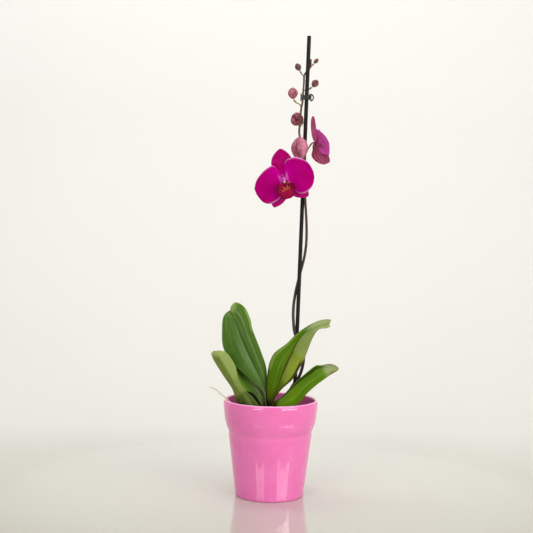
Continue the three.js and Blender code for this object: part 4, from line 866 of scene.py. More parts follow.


# %% Leaf looks
# Sheen bands are long streaks of painted sheen. Patches are fields that are paler, browner or darker than the
# blade: the purple-brown ones at the bases are the leaves' own tone, and the pale and dark ones named below
# are painted highlight, sheen and shade.
LEAF_LOOKS = {
    # The tall left leaf's sheen bands and its grey-green patch low on the left half are painted sheen.
    "leaf_left_tall": dict(
        left="#42661a", right="#4a6c1c", base="#4c5822", tip="#5c7c30", edge="#7d9a50", rib="#33491a",
        painted_sheen="#8aa472", rib_reach=0.9,
        sheen_bands=[(0.435, 0.03, 0.5), (0.36, 0.06, 0.22), (0.6, 0.02, 0.35), (0.76, 0.028, 0.7),
               (0.68, 0.02, 0.3)],
        patches=[(0.62, 1.1, 0.94, 1.1, "#96b05c", 0.75), (0.92, 1.1, 0.66, 0.86, "#8ca850", 0.6),
                 (-0.1, 0.42, 0.1, 0.24, "#5c7048", 0.5), (-0.1, 0.5, -0.1, 0.13, "#3c2420", 0.9),
                 (-0.1, 0.5, 0.95, 1.1, "#4a6c2a", 0.5)]),
    # The inner left leaf's grey-green right half and the pale patch on it are painted sheen, and its dark
    # green patch is painted shade where the blade is hollow.
    "leaf_left_inner": dict(
        left="#507a10", right="#6a7c46", base="#66682e", tip="#5c7c2a", edge="#5c7c2c", rib="#3a4c14",
        painted_sheen="#84945f", rib_reach=0.5,
        patches=[(-0.1, 0.2, 0.3, 1.1, "#5c8418", 0.8), (0.24, 0.48, 0.3, 0.8, "#2c4804", 0.5),
                 (0.5, 0.66, 0.12, 0.6, "#7c8c5c", 0.45), (0.4, 1.1, -0.1, 0.13, "#40241c", 0.6)]),
    "leaf_left_low": dict(
        left="#6e8034", right="#82944a", base="#46581a", tip="#9aa862", edge="#6f7c3c", rib="#5c6c30",
        painted_sheen="#a3ad70", roughness=0.55, rib_reach=0.4,
        patches=[(-0.1, 1.1, -0.1, 0.42, "#465e14", 0.85), (0.55, 1.1, 0.6, 1.0, "#9cac60", 0.5),
                 (0.6, 0.8, 0.08, 0.4, "#86985a", 0.4), (-0.1, 0.2, 0.05, 0.4, "#46561c", 0.5)]),
    # The high right leaf's pale right half, the pale patches on it, its pale tip and its sheen bands are
    # painted light: sheen and reflection on the side turned to the light.
    "leaf_right_high": dict(
        left="#4c7400", right="#86982e", base="#4c5c08", tip="#9aaa68", edge="#5a3328", rib="#5c3226",
        painted_sheen="#94a860", edge_left=0.7, edge_right=0.95, tip_start=0.8, gloss=0.06,
        sheen_bands=[(0.62, 0.08, 0.4), (0.3, 0.025, 0.2)],
        patches=[(-0.1, 1.1, -0.1, 0.1, "#38201a", 0.9), (-0.1, 0.05, 0.02, 0.4, "#3c241a", 0.85),
                 (-0.1, 0.12, 0.34, 0.75, "#7c9c46", 0.6), (0.46, 0.53, 0.02, 0.66, "#46281a", 0.85),
                 (0.6, 0.9, 0.38, 0.62, "#9aae3c", 0.25), (0.1, 0.5, 0.78, 0.98, "#b0bc88", 0.5),
                 (0.53, 0.9, 0.02, 0.3, "#4c5810", 0.7), (0.5, 1.1, 0.58, 0.84, "#8c9c60", 0.6),
                 (0.9, 1.1, 0.05, 0.55, "#2e200c", 0.9)]),
    # The low right leaf's pale left margin and the yellow-green patch low on its right half are painted
    # highlight; the dark band over its left half and its dark left base are painted shade; its sheen bands
    # are painted sheen.
    "leaf_right_low": dict(
        left="#4c6a08", right="#567e04", base="#586c08", tip="#8a985c", edge="#72492f", rib="#2c4004",
        painted_sheen="#8cac50", edge_left=0.3, edge_right=0.6, tip_start=0.8, rib_reach=0.75, gloss=0.06,
        sheen_bands=[(0.12, 0.08, 0.5), (0.8, 0.05, 0.35)],
        patches=[(-0.1, 0.1, 0.14, 0.75, "#b0d84c", 0.85), (0.14, 0.46, 0.14, 0.8, "#2c4604", 0.8),
                 (-0.1, 0.5, -0.1, 0.13, "#2c2a0a", 0.9), (0.5, 0.85, 0.05, 0.5, "#6c8e10", 0.5),
                 (0.3, 0.8, 0.82, 0.96, "#a0aa80", 0.4),
                 (-0.1, 0.14, 0.86, 1.1, "#7a4436", 0.8), (0.88, 1.1, 0.88, 1.1, "#7a4436", 0.8)]),
    # The old sheath is a near-black husk put in the dark gap between two leaves, where there is only shade:
    # painted shade.
    "old_sheath": dict(
        left="#0c0909", right="#100c0b", base="#0c0909", tip="#16110e", edge="#1c1410", rib="#0a0808",
        painted_sheen="#1e1713", roughness=0.85),
}
print("looks:", ", ".join(LEAF_LOOKS))

# %% [markdown]
# ## The curves of the leaves
#
# Each leaf has a left margin, a midrib and a right margin, from its foot to its tip, and a bow: how far
# its halves are vaulted, as a share of their width. Points along the visible margins and midribs were
# read off the photograph as pixels. A scratch program with this camera turned them to millimetres, at a
# depth judged from which leaf lies in front of which, and some were then moved by hand. The feet of the
# leaves, which the pot hides, are a guess.

# %% Leaf shapes
LEAVES = {
    "leaf_left_tall": dict(
        bow=0.09, slot="leaf",
        left=[(-5, -8.2, 119), (-7.4, -5.6, 134.4), (-9.4, -3.6, 146.5), (-14.2, -2.8, 153.2),
              (-20.3, -2.4, 158.2), (-34, -1, 170), (-52, 2, 185), (-69.5, 4, 210), (-72, 8, 238),
              (-71, 12, 253), (-67, 15, 260), (-62, 18, 263.5)],
        midrib=[(-9.1, -1, 118), (-7.7, 0.6, 134), (-9, 2.4, 149.4), (-13, 3, 162), (-20, 4, 176),
                (-35.5, 8, 208), (-43, 10, 225), (-50, 13, 241), (-61, 18, 262)],
        right=[(-5, 6.4, 119), (-6.4, 5, 136), (-6.4, 4, 157), (-6.8, 3.2, 181), (-15, 3.6, 206),
               (-28.5, 6, 240), (-30.5, 8, 250), (-39.5, 13, 268.5), (-47, 15.5, 274), (-54, 17.5, 275.5),
               (-60, 18.5, 270)]),
    "leaf_left_inner": dict(
        bow=-0.05, slot="leaf",
        left=[(-6, -9.6, 114), (-20.9, -7, 127.5), (-29.8, -4.6, 139.9), (-39.4, -0.4, 149),
              (-49.2, 6, 163.8), (-54, 12, 181.8), (-57, 19, 195)],
        midrib=[(-12.1, -1, 113), (-11.6, 0, 130.5), (-16.9, 2, 141), (-23.6, 3, 150.1), (-29.6, 6, 159.8),
                (-36.3, 11, 169.8), (-44.7, 16, 184.4), (-55.5, 21, 197.5)],
        right=[(-6, 8.8, 114), (-5, 9, 132), (-7, 12, 152), (-15, 16, 170), (-28, 20, 188),
               (-42, 23, 199), (-53, 22.5, 200)]),
    "leaf_left_low": dict(
        bow=0.05, slot="young_leaf",
        left=[(-8, 10.6, 109), (-25, 5, 113), (-42, -3, 124), (-50.5, -7, 138), (-55, -7.4, 152),
              (-69, -7.6, 172.5), (-85, -7, 198.5), (-86, -7, 204), (-82, -7.6, 207.5)],
        midrib=[(-14.8, -1, 108), (-23, -7, 115), (-31, -10.5, 126), (-40, -11, 142), (-50.5, -10.8, 158),
                (-63, -10.4, 179.5), (-75.5, -9.6, 199.5), (-79, -9, 207)],
        right=[(-8, -12.2, 109), (-10.2, -14.2, 119), (-15.4, -14.4, 129), (-25.1, -13, 141.1),
               (-33.2, -12, 149), (-42.2, -11.2, 159.2), (-47.6, -10, 171.5), (-51.5, -9.4, 186.5),
               (-61, -9, 201.5), (-67, -8.6, 206.5), (-76, -8.8, 208.2)]),
    "leaf_right_high": dict(
        bow=0.08, slot="leaf",
        left=[(-3, 5.4, 121), (-5.6, 2.6, 131), (-6.5, 0, 145), (-6.8, -1.4, 158), (-5.2, -3, 177),
              (-1.8, -5, 194), (4.6, -8, 206), (20.8, -10, 219), (34, -11, 232.5), (47.5, -12, 243),
              (65, -15, 253), (80, -19, 256.2), (84, -20, 255)],
        midrib=[(5, -1, 119), (4.4, -2, 135), (8, -1.5, 150), (14, -1, 166), (23, -3, 190.5),
                (29, -4, 204), (37, -5, 221), (44.5, -7, 232), (62, -12, 243), (81.6, -19.3, 249.8)],
        right=[(1.5, -9.2, 121), (3.4, -10, 136), (13.7, -10, 152), (30.5, -12, 168.5), (41.5, -13, 187),
               (46.5, -14, 197), (50.5, -15, 208.5), (58.8, -18, 230.5), (67, -21, 242), (76.5, -21, 243.4),
               (82.6, -20.6, 245.4)]),
    "leaf_right_low": dict(
        bow=0.08, slot="leaf",
        left=[(1.5, 10, 115), (-0.4, 10, 126), (3.8, 7.8, 132.8), (12.8, 6.2, 138.1), (20.6, 6, 145.2),
              (30, 5.5, 156), (46.5, 5, 172), (65.5, 3, 187.5), (71, 1, 187.4), (83, -4, 190.5),
              (91, -8, 189.5), (96.5, -12, 186)],
        midrib=[(8.1, -1, 114), (8.6, -3, 124), (10.5, -2, 133.5), (18.6, 0, 140.5), (30, 1.5, 152.4),
                (40.5, 1.5, 162), (49.3, 1, 169.5), (58, 0, 175.5), (66.3, -3, 182.4), (84.3, -9, 186),
                (96, -12.5, 184.5)],
        right=[(2.5, -11.4, 115), (13, -18, 123), (28, -20, 130), (40, -19, 134.8), (50.3, -19, 148.4),
               (62.3, -18.5, 160), (82.3, -18, 175.2), (96, -14, 183.4)]),
    # The old sheath is a near-black husk put in the dark gap between two leaves, where there is only shade:
    # painted shade.
    "old_sheath": dict(
        bow=0.12, slot="husk",
        left=[(-11.6, -7.8, 113.6), (-15, -11, 120.1), (-19.8, -12.2, 129.5), (-26.9, -10.4, 138.6),
              (-33.5, -8.8, 145.7), (-36.2, -8.4, 149.4)],
        midrib=[(-10, -9.8, 113.5), (-12.6, -12, 121.6), (-17.1, -12, 131.3), (-24.3, -10.2, 140.6),
                (-30.5, -8.6, 146.5), (-35.6, -8, 150)],
        right=[(-8, -11.4, 113.6), (-10.1, -11.8, 123), (-14, -11.2, 132.5), (-19.8, -9.2, 141.4),
               (-26.6, -7.8, 147.6), (-34.6, -7.6, 150.2)]),
}
print("leaves and sheath:", len(LEAVES))


# %% Leaves from their curves
def leaf_surface(left, midrib, right, bow):
    curves = [smooth_curve(places) for places in (left, midrib, right)]

    def surface(u, v):
        rib = curves[1](v)
        forward = unit(curves[1](np.minimum(v + 0.002, 1)) - curves[1](np.maximum(v - 0.002, 0)))
        margin = np.where((u < 0)[..., None], curves[0](v), curves[2](v))
        side = margin - rib
        share = np.abs(u)[..., None]
        lift = unit(np.cross(forward, side)) * np.where(u < 0, 1, -1)[..., None]
        height = bow * np.linalg.norm(side, axis=-1, keepdims=True) * np.sin(math.pi * share)
        return rib + side * share + lift * height
    return surface


def leaf_thickness(u, v):
    """2.4 mm at the midrib and 1.1 mm at the margin."""
    return 1.1 + 1.3 * (1 - np.abs(u)) ** 1.5 * (1 - 0.5 * v)


for name, leaf in LEAVES.items():
    surface = leaf_surface(leaf["left"], leaf["midrib"], leaf["right"], leaf["bow"])
    finish_name = name.replace("leaf", "waxed_leaf").replace("old_sheath", "painted_shade_husk")
    finish = leaf_finish(finish_name, **LEAF_LOOKS[name])
    make_piece(name + "_blade", [blade(surface, leaf_thickness, 36, 72)], [finish],
               replaces=[name])

# %% [markdown]
# ## Stake
#
# A straight plastic-coated cane with a rounded top holds the spike up. It is drawn as rings along its
# axis, with the last few drawn in for the rounded ends.

# %% Stake
coated_cane, tree, shader = start_material("plastic_coated_cane", Roughness=0.4, IOR=1.49,
                                           Specular_IOR_Level=0.14)
place = add_node(tree, "ShaderNodeTexCoord").outputs["Object"]
# Drawing marks run along it, so the pattern is stretched along Z; 1.5 mm apart round it.
drawn = add_node(tree, "ShaderNodeMapping", {"Vector": place, "Scale": (1, 1, 0.03)}).outputs[0]
marks = add_node(tree, "ShaderNodeTexNoise", {"Vector": drawn, "Scale": 650, "Detail": 3}).outputs["Fac"]
tree.links.new(paint(tree, "#110e0d", [("#262120", marks)]), shader.inputs["Base Color"])
mark_bump = add_node(tree, "ShaderNodeBump", {"Height": marks, "Strength": 0.3, "Distance": 0.0002})
tree.links.new(mark_bump.outputs[0], shader.inputs["Normal"])

STAKE_FOOT, STAKE_TOP, STAKE_RADIUS = Vector((31.5, 12, 9)), Vector((46.7, 12, 661.5)), 2.85
stake_length = (STAKE_TOP - STAKE_FOOT).length
round_end = arc((STAKE_RADIUS - 1.1, stake_length - 1.1), 1.1, 0, 90, 6)
stake_outline = ([(0, 0), (STAKE_RADIUS - 0.5, 0), (STAKE_RADIUS, 0.6)]
                 + between((STAKE_RADIUS, 8), (STAKE_RADIUS, stake_length - 8), 40) + round_end
                 + [(0, stake_length)])
stake = grown("flower_stake", outline_mesh("stake_outline", stake_outline), WHEEL, Steps_round=36,
              Finish=coated_cane)
stake.data.transform(Matrix.Translation(STAKE_FOOT * MM) @ Vector((0, 0, 1)).rotation_difference(
    STAKE_TOP - STAKE_FOOT).to_matrix().to_4x4())
outward(stake)
dress(stake, "plant", ["stake"])

# %% [markdown]
# ## Flower spike
#
# The spike winds round the stake and thins towards its growing tip. It is brown-purple, with a
# lighter green-brown where it turns from the light. A short stalk leaves it for each bloom and bud,
# and under each stalk sits a small dry scale, the bract.

# %% Spike finish
spike_skin, tree, shader = start_material("purple_brown_stem_skin", Roughness=0.42, IOR=1.45,
                                          Specular_IOR_Level=0.3, Coat_Weight=0.06, Coat_Roughness=0.3)
place = add_node(tree, "ShaderNodeTexCoord").outputs["Object"]
height = add_node(tree, "ShaderNodeSeparateXYZ", {0: place}).outputs["Z"]
# Streaks a millimetre or two wide that run along the stem. It is purple-brown low down, brown in the
# middle and goes olive among the youngest buds.
long_streaks = add_node(tree, "ShaderNodeMapping", {"Vector": place, "Scale": (1, 1, 0.08)}).outputs[0]
streaks = add_node(tree, "ShaderNodeTexNoise",
                   {"Vector": long_streaks, "Scale": 380, "Detail": 3}).outputs["Fac"]
low_colour, high_colour, top_colour = [paint(tree, dark, [(light, streaks)]) for dark, light in (
    ("#241915", "#4a3a30"), ("#3f2a20", "#6c4a36"), ("#3d3018", "#725c34"))]
spike_colour = paint(tree, low_colour, [(high_colour, (height, 0.30, 0.50)),
                                        (top_colour, (height, 0.565, 0.60))])
tree.links.new(spike_colour, shader.inputs["Base Color"])

stalk_skin, tree, shader = start_material("ochre_stalk_skin", Roughness=0.45, IOR=1.45,
                                          Specular_IOR_Level=0.3)
place = add_node(tree, "ShaderNodeTexCoord").outputs["Object"]
specks = add_node(tree, "ShaderNodeTexNoise", {"Vector": place, "Scale": 500, "Detail": 3}).outputs["Fac"]
tree.links.new(paint(tree, "#644426", [("#a07c40", specks)]), shader.inputs["Base Color"])

bract_skin, tree, shader = start_material("dry_bract", Roughness=0.7)
place = add_node(tree, "ShaderNodeTexCoord").outputs["Object"]
specks = add_node(tree, "ShaderNodeTexNoise", {"Vector": place, "Scale": 900, "Detail": 3}).outputs["Fac"]
tree.links.new(paint(tree, "#4d3226", [("#96714c", specks)]), shader.inputs["Base Color"])

# %% Spike and stalks
SPIKE = [(-1.8, 10.6, 104), (0.4, 13, 107.5), (7, 16, 114), (15, 16, 126), (23, 15.5, 139), (33, 17.4, 157),
         (41, 15, 169), (46.5, 12, 190), (45.5, 8.5, 206), (40, 6.2, 220), (33.5, 7.6, 233), (31, 11, 252),
         (31, 12.5, 272), (34, 16.6, 293), (39, 17.4, 316), (45, 14.5, 341), (47.6, 12, 361), (47.9, 11, 382),
         (46.8, 9.5, 404), (45, 7.8, 427), (44.2, 6.7, 455), (42.9, 6.5, 486), (38.6, 7.6, 504),
         (34.8, 10, 521), (35.9, 11, 540), (37.2, 12, 558), (38.7, 12.2, 566), (39, 12.2, 575),
         (39.8, 12.4, 585), (40.4, 12.8, 597), (40.6, 14.2, 605), (44.6, 17, 611.5), (49.2, 15.6, 617.5),
         (49.9, 14.8, 628.5)]
STALKS = {
    "bloom_front": [(44.6, 7, 438), (40, -2, 441), (30, -13, 447), (19, -22.5, 452), (14, -27, 453),
                    (13.2, -29.5, 453.4)],
    "bloom_side": [(42.8, 6.6, 487), (45.8, 7.6, 494), (50.2, 9.6, 503), (53.4, 11.2, 507.4),
                   (56.1, 12.6, 508.8)],
    "bud_opening": [(36.2, 8.8, 511), (35.8, 5, 517.5), (35.5, 0, 518.5), (35.4, -4.2, 515.3)],
    "bud_round": [(35.4, 10.8, 531), (39, 13, 534.5), (39.8, 16.4, 538.5), (36.6, 16.8, 540.4)],
    "bud_left": [(36.9, 12, 561), (33, 10.4, 564), (29, 9, 565.6), (26, 8.2, 569.2)],
    "bud_right": [(39.8, 12.6, 583.5), (43, 17.6, 584.5), (48, 17.4, 586), (52, 16.4, 588.6)],
    "bud_high_left": [(40.5, 13.6, 604), (38, 14, 606), (35.8, 14, 608.6), (34.6, 14, 611)],
    "bud_high_right": [(49.6, 15.4, 618), (52.2, 14.4, 619.8), (54, 14, 622)],
}
STALK_RADIUS = 0.9
spike_stem = grown("spike_stem", path_curve("spike_path", [SPIKE]), STEM, Root_radius=2.4 * MM,
                   Tip_radius=1.25 * MM, Taper=1.3, Sides=20, Step=1.2 * MM, Finish=spike_skin)
stalk_end = 1.35 * STALK_RADIUS * MM
stalks = grown("stalks", path_curve("stalk_paths", STALKS.values()), STEM, Root_radius=stalk_end,
               Tip_radius=stalk_end, Waist=0.37, Sides=14, Step=0.7 * MM, Finish=stalk_skin)
print("spike:", len(spike_stem.data.polygons), "faces, stalks:", len(stalks.data.polygons), "faces")


# %% Bracts
def bract_tree():
    tree, given, result = new_tree("bract_under_each_stalk", [
        ("Joints", "Object", None), ("Length", "Float", 0.0046), ("Finish", "Material", None)])
    joints = add_node(tree, "GeometryNodeObjectInfo", {"Object": given.outputs["Joints"]})
    lean = add_node(tree, "GeometryNodeInputNamedAttribute", {"Name": "lean"}, data_type="FLOAT_VECTOR")
    aimed = add_node(tree, "FunctionNodeAlignRotationToVector", {"Vector": lean.outputs[0]}, axis="Z")
    laid = add_node(tree, "GeometryNodeInstanceOnPoints", {
        "Points": joints.outputs["Geometry"], "Instance": given.outputs["Geometry"],
        "Rotation": aimed.outputs[0], "Scale": given.outputs["Length"]})
    return end_tree(tree, given, result, laid.outputs[0])


joints = bpy.data.meshes.new("joints")
leans = [unit(unit(np.array(p[1], float) - p[0]) * 0.75 + np.array([0, 0, 1.0])) for p in STALKS.values()]
joints.from_pydata([tuple((np.array(p[0]) - lean * 1.6 + [0, 0, -0.4]) * MM)
                    for p, lean in zip(STALKS.values(), leans)], [], [])
joints.attributes.new("lean", "FLOAT_VECTOR", "POINT").data.foreach_set("vector", np.ravel(leans))
joint_points = bpy.data.objects.new("joints", joints)
scene.collection.objects.link(joint_points)
# One scale is a metre long here, so that the tree's length input is its real length.
scale_outline = [(0, 0), (200, 0), (300, 80), (340, 250), (300, 500), (190, 750), (80, 930), (0, 1000)]
scale_shape = grown("scale_shape", outline_mesh("scale", scale_outline), WHEEL, Steps_round=16,
                    Finish=bract_skin)
bracts = grown("bracts", scale_shape.data.copy(), bract_tree(), Joints=joint_points, Length=4.4 * MM,
               Finish=bract_skin)
for helper in (joint_points, scale_shape):
    bpy.data.objects.remove(helper)
spike = join_pieces([spike_stem, stalks, bracts], "flower_spike_stem")
dress(spike, "plant", ["flower_spike"])

# %% [markdown]
# ## Petals and sepals
#
# A moth orchid's flower has three outer sepals and two broad petals in front of them. They are thin, soft and
# slightly sparkling, with fine darker veins that fan out from the middle and a paler edge where they curl;
# the sparkle is painted as pale glints. Each one is a blade with a rule for its width, its lean and how its
# tip bends back.

# %% Petal finish
def petal_finish(name, deep, bright, heart, back, rim, vein, vein_strength=0.3, claw="#d765b5",
                 vein_count=5.6, vein_reach=0.62):
    """The front face's two tones, its bright heart, its pale rim and its veins, and the back's tone."""
    material, tree, shader = start_material(name, Roughness=0.7, IOR=1.35, Specular_IOR_Level=0.0,
                                            Subsurface_Weight=0.06, Subsurface_Radius=(1.0, 0.1, 0.6),
                                            Subsurface_Scale=0.0012)
    surface = add_node(tree, "ShaderNodeUVMap", uv_map="surface").outputs[0]
    place = add_node(tree, "ShaderNodeTexCoord").outputs["Object"]
    numbers = add_node(tree, "ShaderNodeSeparateXYZ", {0: surface})
    across, along = numbers.outputs["X"], numbers.outputs["Y"]

    clouds = add_node(tree, "ShaderNodeTexNoise", {"Vector": place, "Scale": 60, "Detail": 3}).outputs["Fac"]
    # Painted sparkle: the glints of the petal's cells are painted as pale specks. They are 0.1 mm wide, and
    # drawn at 0.7 mm to show at all.
    painted_sparkle = add_node(tree, "ShaderNodeTexVoronoi", {"Vector": place, "Scale": 1400}).outputs["Distance"]
    # About 18 veins across a petal, wavering as they fan out, with cross veins that join them.
    stretched = add_node(tree, "ShaderNodeMapping", {"Vector": surface, "Scale": (1, 0.22, 1)}).outputs[0]
    veins = add_node(tree, "ShaderNodeTexWave", {
        "Vector": stretched, "Scale": vein_count, "Distortion": 0.4 * vein_count, "Detail": 3,
        "Detail Scale": 2.5}, bands_direction="X").outputs["Fac"]
    netted = add_node(tree, "ShaderNodeMapping", {"Vector": surface, "Scale": (14, 7, 1)}).outputs[0]
    net = add_node(tree, "ShaderNodeTexVoronoi", {"Vector": netted, "Scale": 1.0},
                   feature="DISTANCE_TO_EDGE").outputs["Distance"]
    long_veins = add_node(tree, "ShaderNodeMapRange", {
        0: veins, 1: vein_reach, 2: 1.0, 3: 0, 4: vein_strength}, interpolation_type="SMOOTHSTEP")
    cross_veins = add_node(tree, "ShaderNodeMapRange", {
        0: net, 1: 0.0, 2: 0.09, 3: vein_strength * 0.7, 4: 0}, interpolation_type="SMOOTHSTEP")
    drawn_veins = add_node(tree, "ShaderNodeMath", {0: long_veins.outputs[0], 1: cross_veins.outputs[0]},
                           operation="MAXIMUM").outputs[0]
    off_middle = add_node(tree, "ShaderNodeMath", {0: across, 1: 0.5}, operation="SUBTRACT").outputs[0]
    off_middle = add_node(tree, "ShaderNodeMath", {0: off_middle}, operation="ABSOLUTE").outputs[0]
    # The claw is the petal's narrow foot. The attribute called rim says where the rim is pale.
    pale = add_node(tree, "ShaderNodeAttribute", attribute_name="rim").outputs["Fac"]
    front_colour = paint(tree, deep, [
        (bright, (clouds, 0.35, 0.65)), ("#d8249c", (painted_sparkle, 0.3, 0.7, 0, 0.12)),
        (heart, (along, 0.08, 0.42, 0.85, 0)), (vein, drawn_veins),
        (claw, (along, 0.07, 0.14, 0.5, 0), (off_middle, 0.12, 0.34, 1, 0)), (rim, pale)], "SMOOTHSTEP")
    front = add_node(tree, "ShaderNodeAttribute", attribute_name="front").outputs["Fac"]
    colour = paint(tree, back, [(vein, drawn_veins), (deep, (clouds, 0.35, 0.65, 0, 0.35)),
                                (front_colour, front)], "SMOOTHSTEP")
    tree.links.new(colour, shader.inputs["Base Color"])
    relief = add_node(tree, "ShaderNodeMath", {0: veins, 1: clouds}, operation="ADD").outputs[0]
    bump = add_node(tree, "ShaderNodeBump", {"Height": relief, "Strength": 0.3, "Distance": 0.0005})
    tree.links.new(bump.outputs[0], shader.inputs["Normal"])
    return material


# %% Petal finishes of the two blooms
front_petal = petal_finish("orchid_petal_front", deep="#a20062", bright="#ae0076", heart="#c00090",
                           back="#a8457f", rim="#dfa0d2", vein="#8c004c", claw="#e27cc8")
front_sepal = petal_finish("orchid_sepal_front", deep="#a60060", bright="#b41274", heart="#b80080",
                           back="#9c4468", rim="#d48abc", vein="#7c0038", vein_strength=0.55)
# The front bloom's low sepals take a copy of the sepal finish painted lighter, for the light they miss:
# painted light.
front_low_sepal_painted_lighter = petal_finish("orchid_low_sepal_front_painted_lighter", deep="#bc0c78", bright="#ca208c", heart="#c8008c",
                               back="#9c4468", rim="#d48abc", vein="#8c0044", vein_strength=0.5)
side_petal = petal_finish("orchid_petal_side", deep="#b41478", bright="#c43096", heart="#c6008c",
                          back="#f470d0", rim="#e09ccc", vein="#9c1474", vein_strength=0.4)
# The side bloom's top and low sepals take copies of one sepal finish, painted lighter for the top sepal and
# darker for the low ones: painted light and shade.
side_sepal_painted_lighter = petal_finish("orchid_sepal_side_painted_lighter", deep="#c43a7c", bright="#c8408c", heart="#b80078",
                          back="#fc82b6", rim="#e08cae", vein="#5c1434", vein_strength=0.95,
                          vein_count=2.2, vein_reach=0.42)
side_low_sepal_painted_darker = petal_finish("orchid_low_sepal_side_painted_darker", deep="#bc3474", bright="#c03884", heart="#b80078",
                              back="#ca728c", rim="#e08cae", vein="#501030", vein_strength=0.95,
                              vein_count=2.2, vein_reach=0.42)


# %% Tepals from their numbers
def margin_at(distances, t):
    """A margin's distance from the middle line, smooth between even steps and rounded off at the tip."""
    given = np.array(distances, float)
    first = (t * (len(given) - 1)).astype(int)
    share = t * (len(given) - 1) - first
    before, start, stop, after = [given[np.clip(first + k, 0, len(given) - 1)] for k in (-1, 0, 1, 2)]
    leave, arrive = (stop - before) / 2, (after - start) / 2
    distance = (start + leave * share + (3 * (stop - start) - 2 * leave - arrive) * share ** 2
                + (leave + arrive - 2 * (stop - start)) * share ** 3)
    return distance * np.sqrt(1 - t ** 6)


def tepal_surface(bearing, length, lean, recurve, cup, layer, width=0, power=1, blunt=1, margins=None,
                  shoulders=(0, 0), wave=0, twist=0):
    """Flower's own frame: x to the viewer's right, y up, z towards the viewer. Bearing is clockwise.
    A broad petal has two margins, the left one first, in place of a width. Its shoulders say how far
    each of them is set back past the claw."""
    angle, tilt = math.radians(bearing), math.radians(lean)
    outward_way = np.array([math.sin(angle), math.cos(angle), 0])
    side_way = np.array([math.cos(angle), -math.sin(angle), 0])
    front_way = np.array([0, 0, 1.0])

    def surface(u, v):
        t = 0.01 + 0.975 * v
        if margins:
            half = np.where(u < 0, margin_at(margins[0], t), margin_at(margins[1], t))
        else:
            half = (width / 2) * np.maximum(np.sin(math.pi * t ** power), 0) ** blunt + 1.4 * (1 - t) ** 6
        set_back = np.where(u < 0, shoulders[0], shoulders[1]) * u * u * np.exp(-((t - 0.15) / 0.12) ** 2)
        reach = 1.6 + length * t * (1 + 0.06 * u * u * np.sin(math.pi * t)) - set_back
        forward = (layer + reach * math.sin(tilt) - recurve * t * t + cup * u * u * np.sin(math.pi * t)
                   + wave * np.sin(4 * math.pi * t) * u ** 3)
        roll = math.radians(twist) * np.minimum(1, 2.2 * t)
        return (outward_way * (reach * math.cos(tilt))[..., None]
                + side_way * (half * u * np.cos(roll))[..., None]
                + front_way * (forward + half * u * np.sin(roll))[..., None])
    return surface


print("margin halfway along an even petal:", margin_at([5, 5, 5], np.array([0.5])).round(2))

# %% [markdown]
# ## Balls and tubes
#
# The knob in the middle of a flower, the lip's claw and comb and the column are small round forms. A
# ball is an oval with two poles, a tube is a row of rings along a curve. Both are grids of places whose
# seam and ends close when doubles are merged.

# %% Round forms
def ball(centre, radii, around=32, up=20):
    """A closed oval with its poles along z."""
    a, h = np.meshgrid(np.linspace(0, 2 * math.pi, around + 1), np.linspace(0, math.pi, up + 1))
    places = np.stack([np.cos(a) * np.sin(h), np.sin(a) * np.sin(h), np.cos(h)], axis=-1) * radii + centre
    return patch(places, a / (2 * math.pi), h / math.pi)


def patch(places, u, v):
    """A grid of places as one shape with its UVs. Seams and poles close when doubles are merged."""
    rows, columns = places.shape[:2]
    faces = [(j * columns + i, j * columns + i + 1, (j + 1) * columns + i + 1, (j + 1) * columns + i)
             for j in range(rows - 1) for i in range(columns - 1)]
    uv = np.stack([u, v], axis=-1).reshape(-1, 2)
    return dict(points=places.reshape(-1, 3), faces=faces, uv=uv, front=np.ones(rows * columns),
                rim=np.zeros(rows * columns))


def tube(points, radius_at, sides=20, steps=24):
    """A closed round stem along a curve."""
    line = smooth_curve(points)
    share = np.linspace(0, 1, steps + 1)
    centres = line(share)
    forward = unit(np.gradient(centres, axis=0))
    helper = np.array([1.0, 0, 0])
    across = unit(np.cross(forward, helper))
    other = np.cross(forward, across)
    angle = np.linspace(0, 2 * math.pi, sides + 1)
    radius = np.array([radius_at(s) for s in share])
    rings = (centres[:, None] + radius[:, None, None] * (np.cos(angle)[None, :, None] * across[:, None]
             + np.sin(angle)[None, :, None] * other[:, None]))
    ends = [np.repeat(centres[i][None], sides + 1, 0)[None] for i in (0, -1)]
    places = np.concatenate([ends[0], rings, ends[1]])
    shares = np.concatenate([[0], share, [1]])
    u, v = np.meshgrid(angle / (2 * math.pi), shares)
    return patch(places, u, v)


print("a ball has", len(ball((0, 0, 0), (1, 1, 1))["faces"]), "faces")

# %% [markdown]
# ## Lip and column
#
# In front of the petals hangs the lip, a velvety maroon tongue with two side lobes that stand up round
# a knobbly orange comb, and above it the column, the pale finger that carries the pollen under a white
# cap. The lip is three small blades, a claw and the comb.

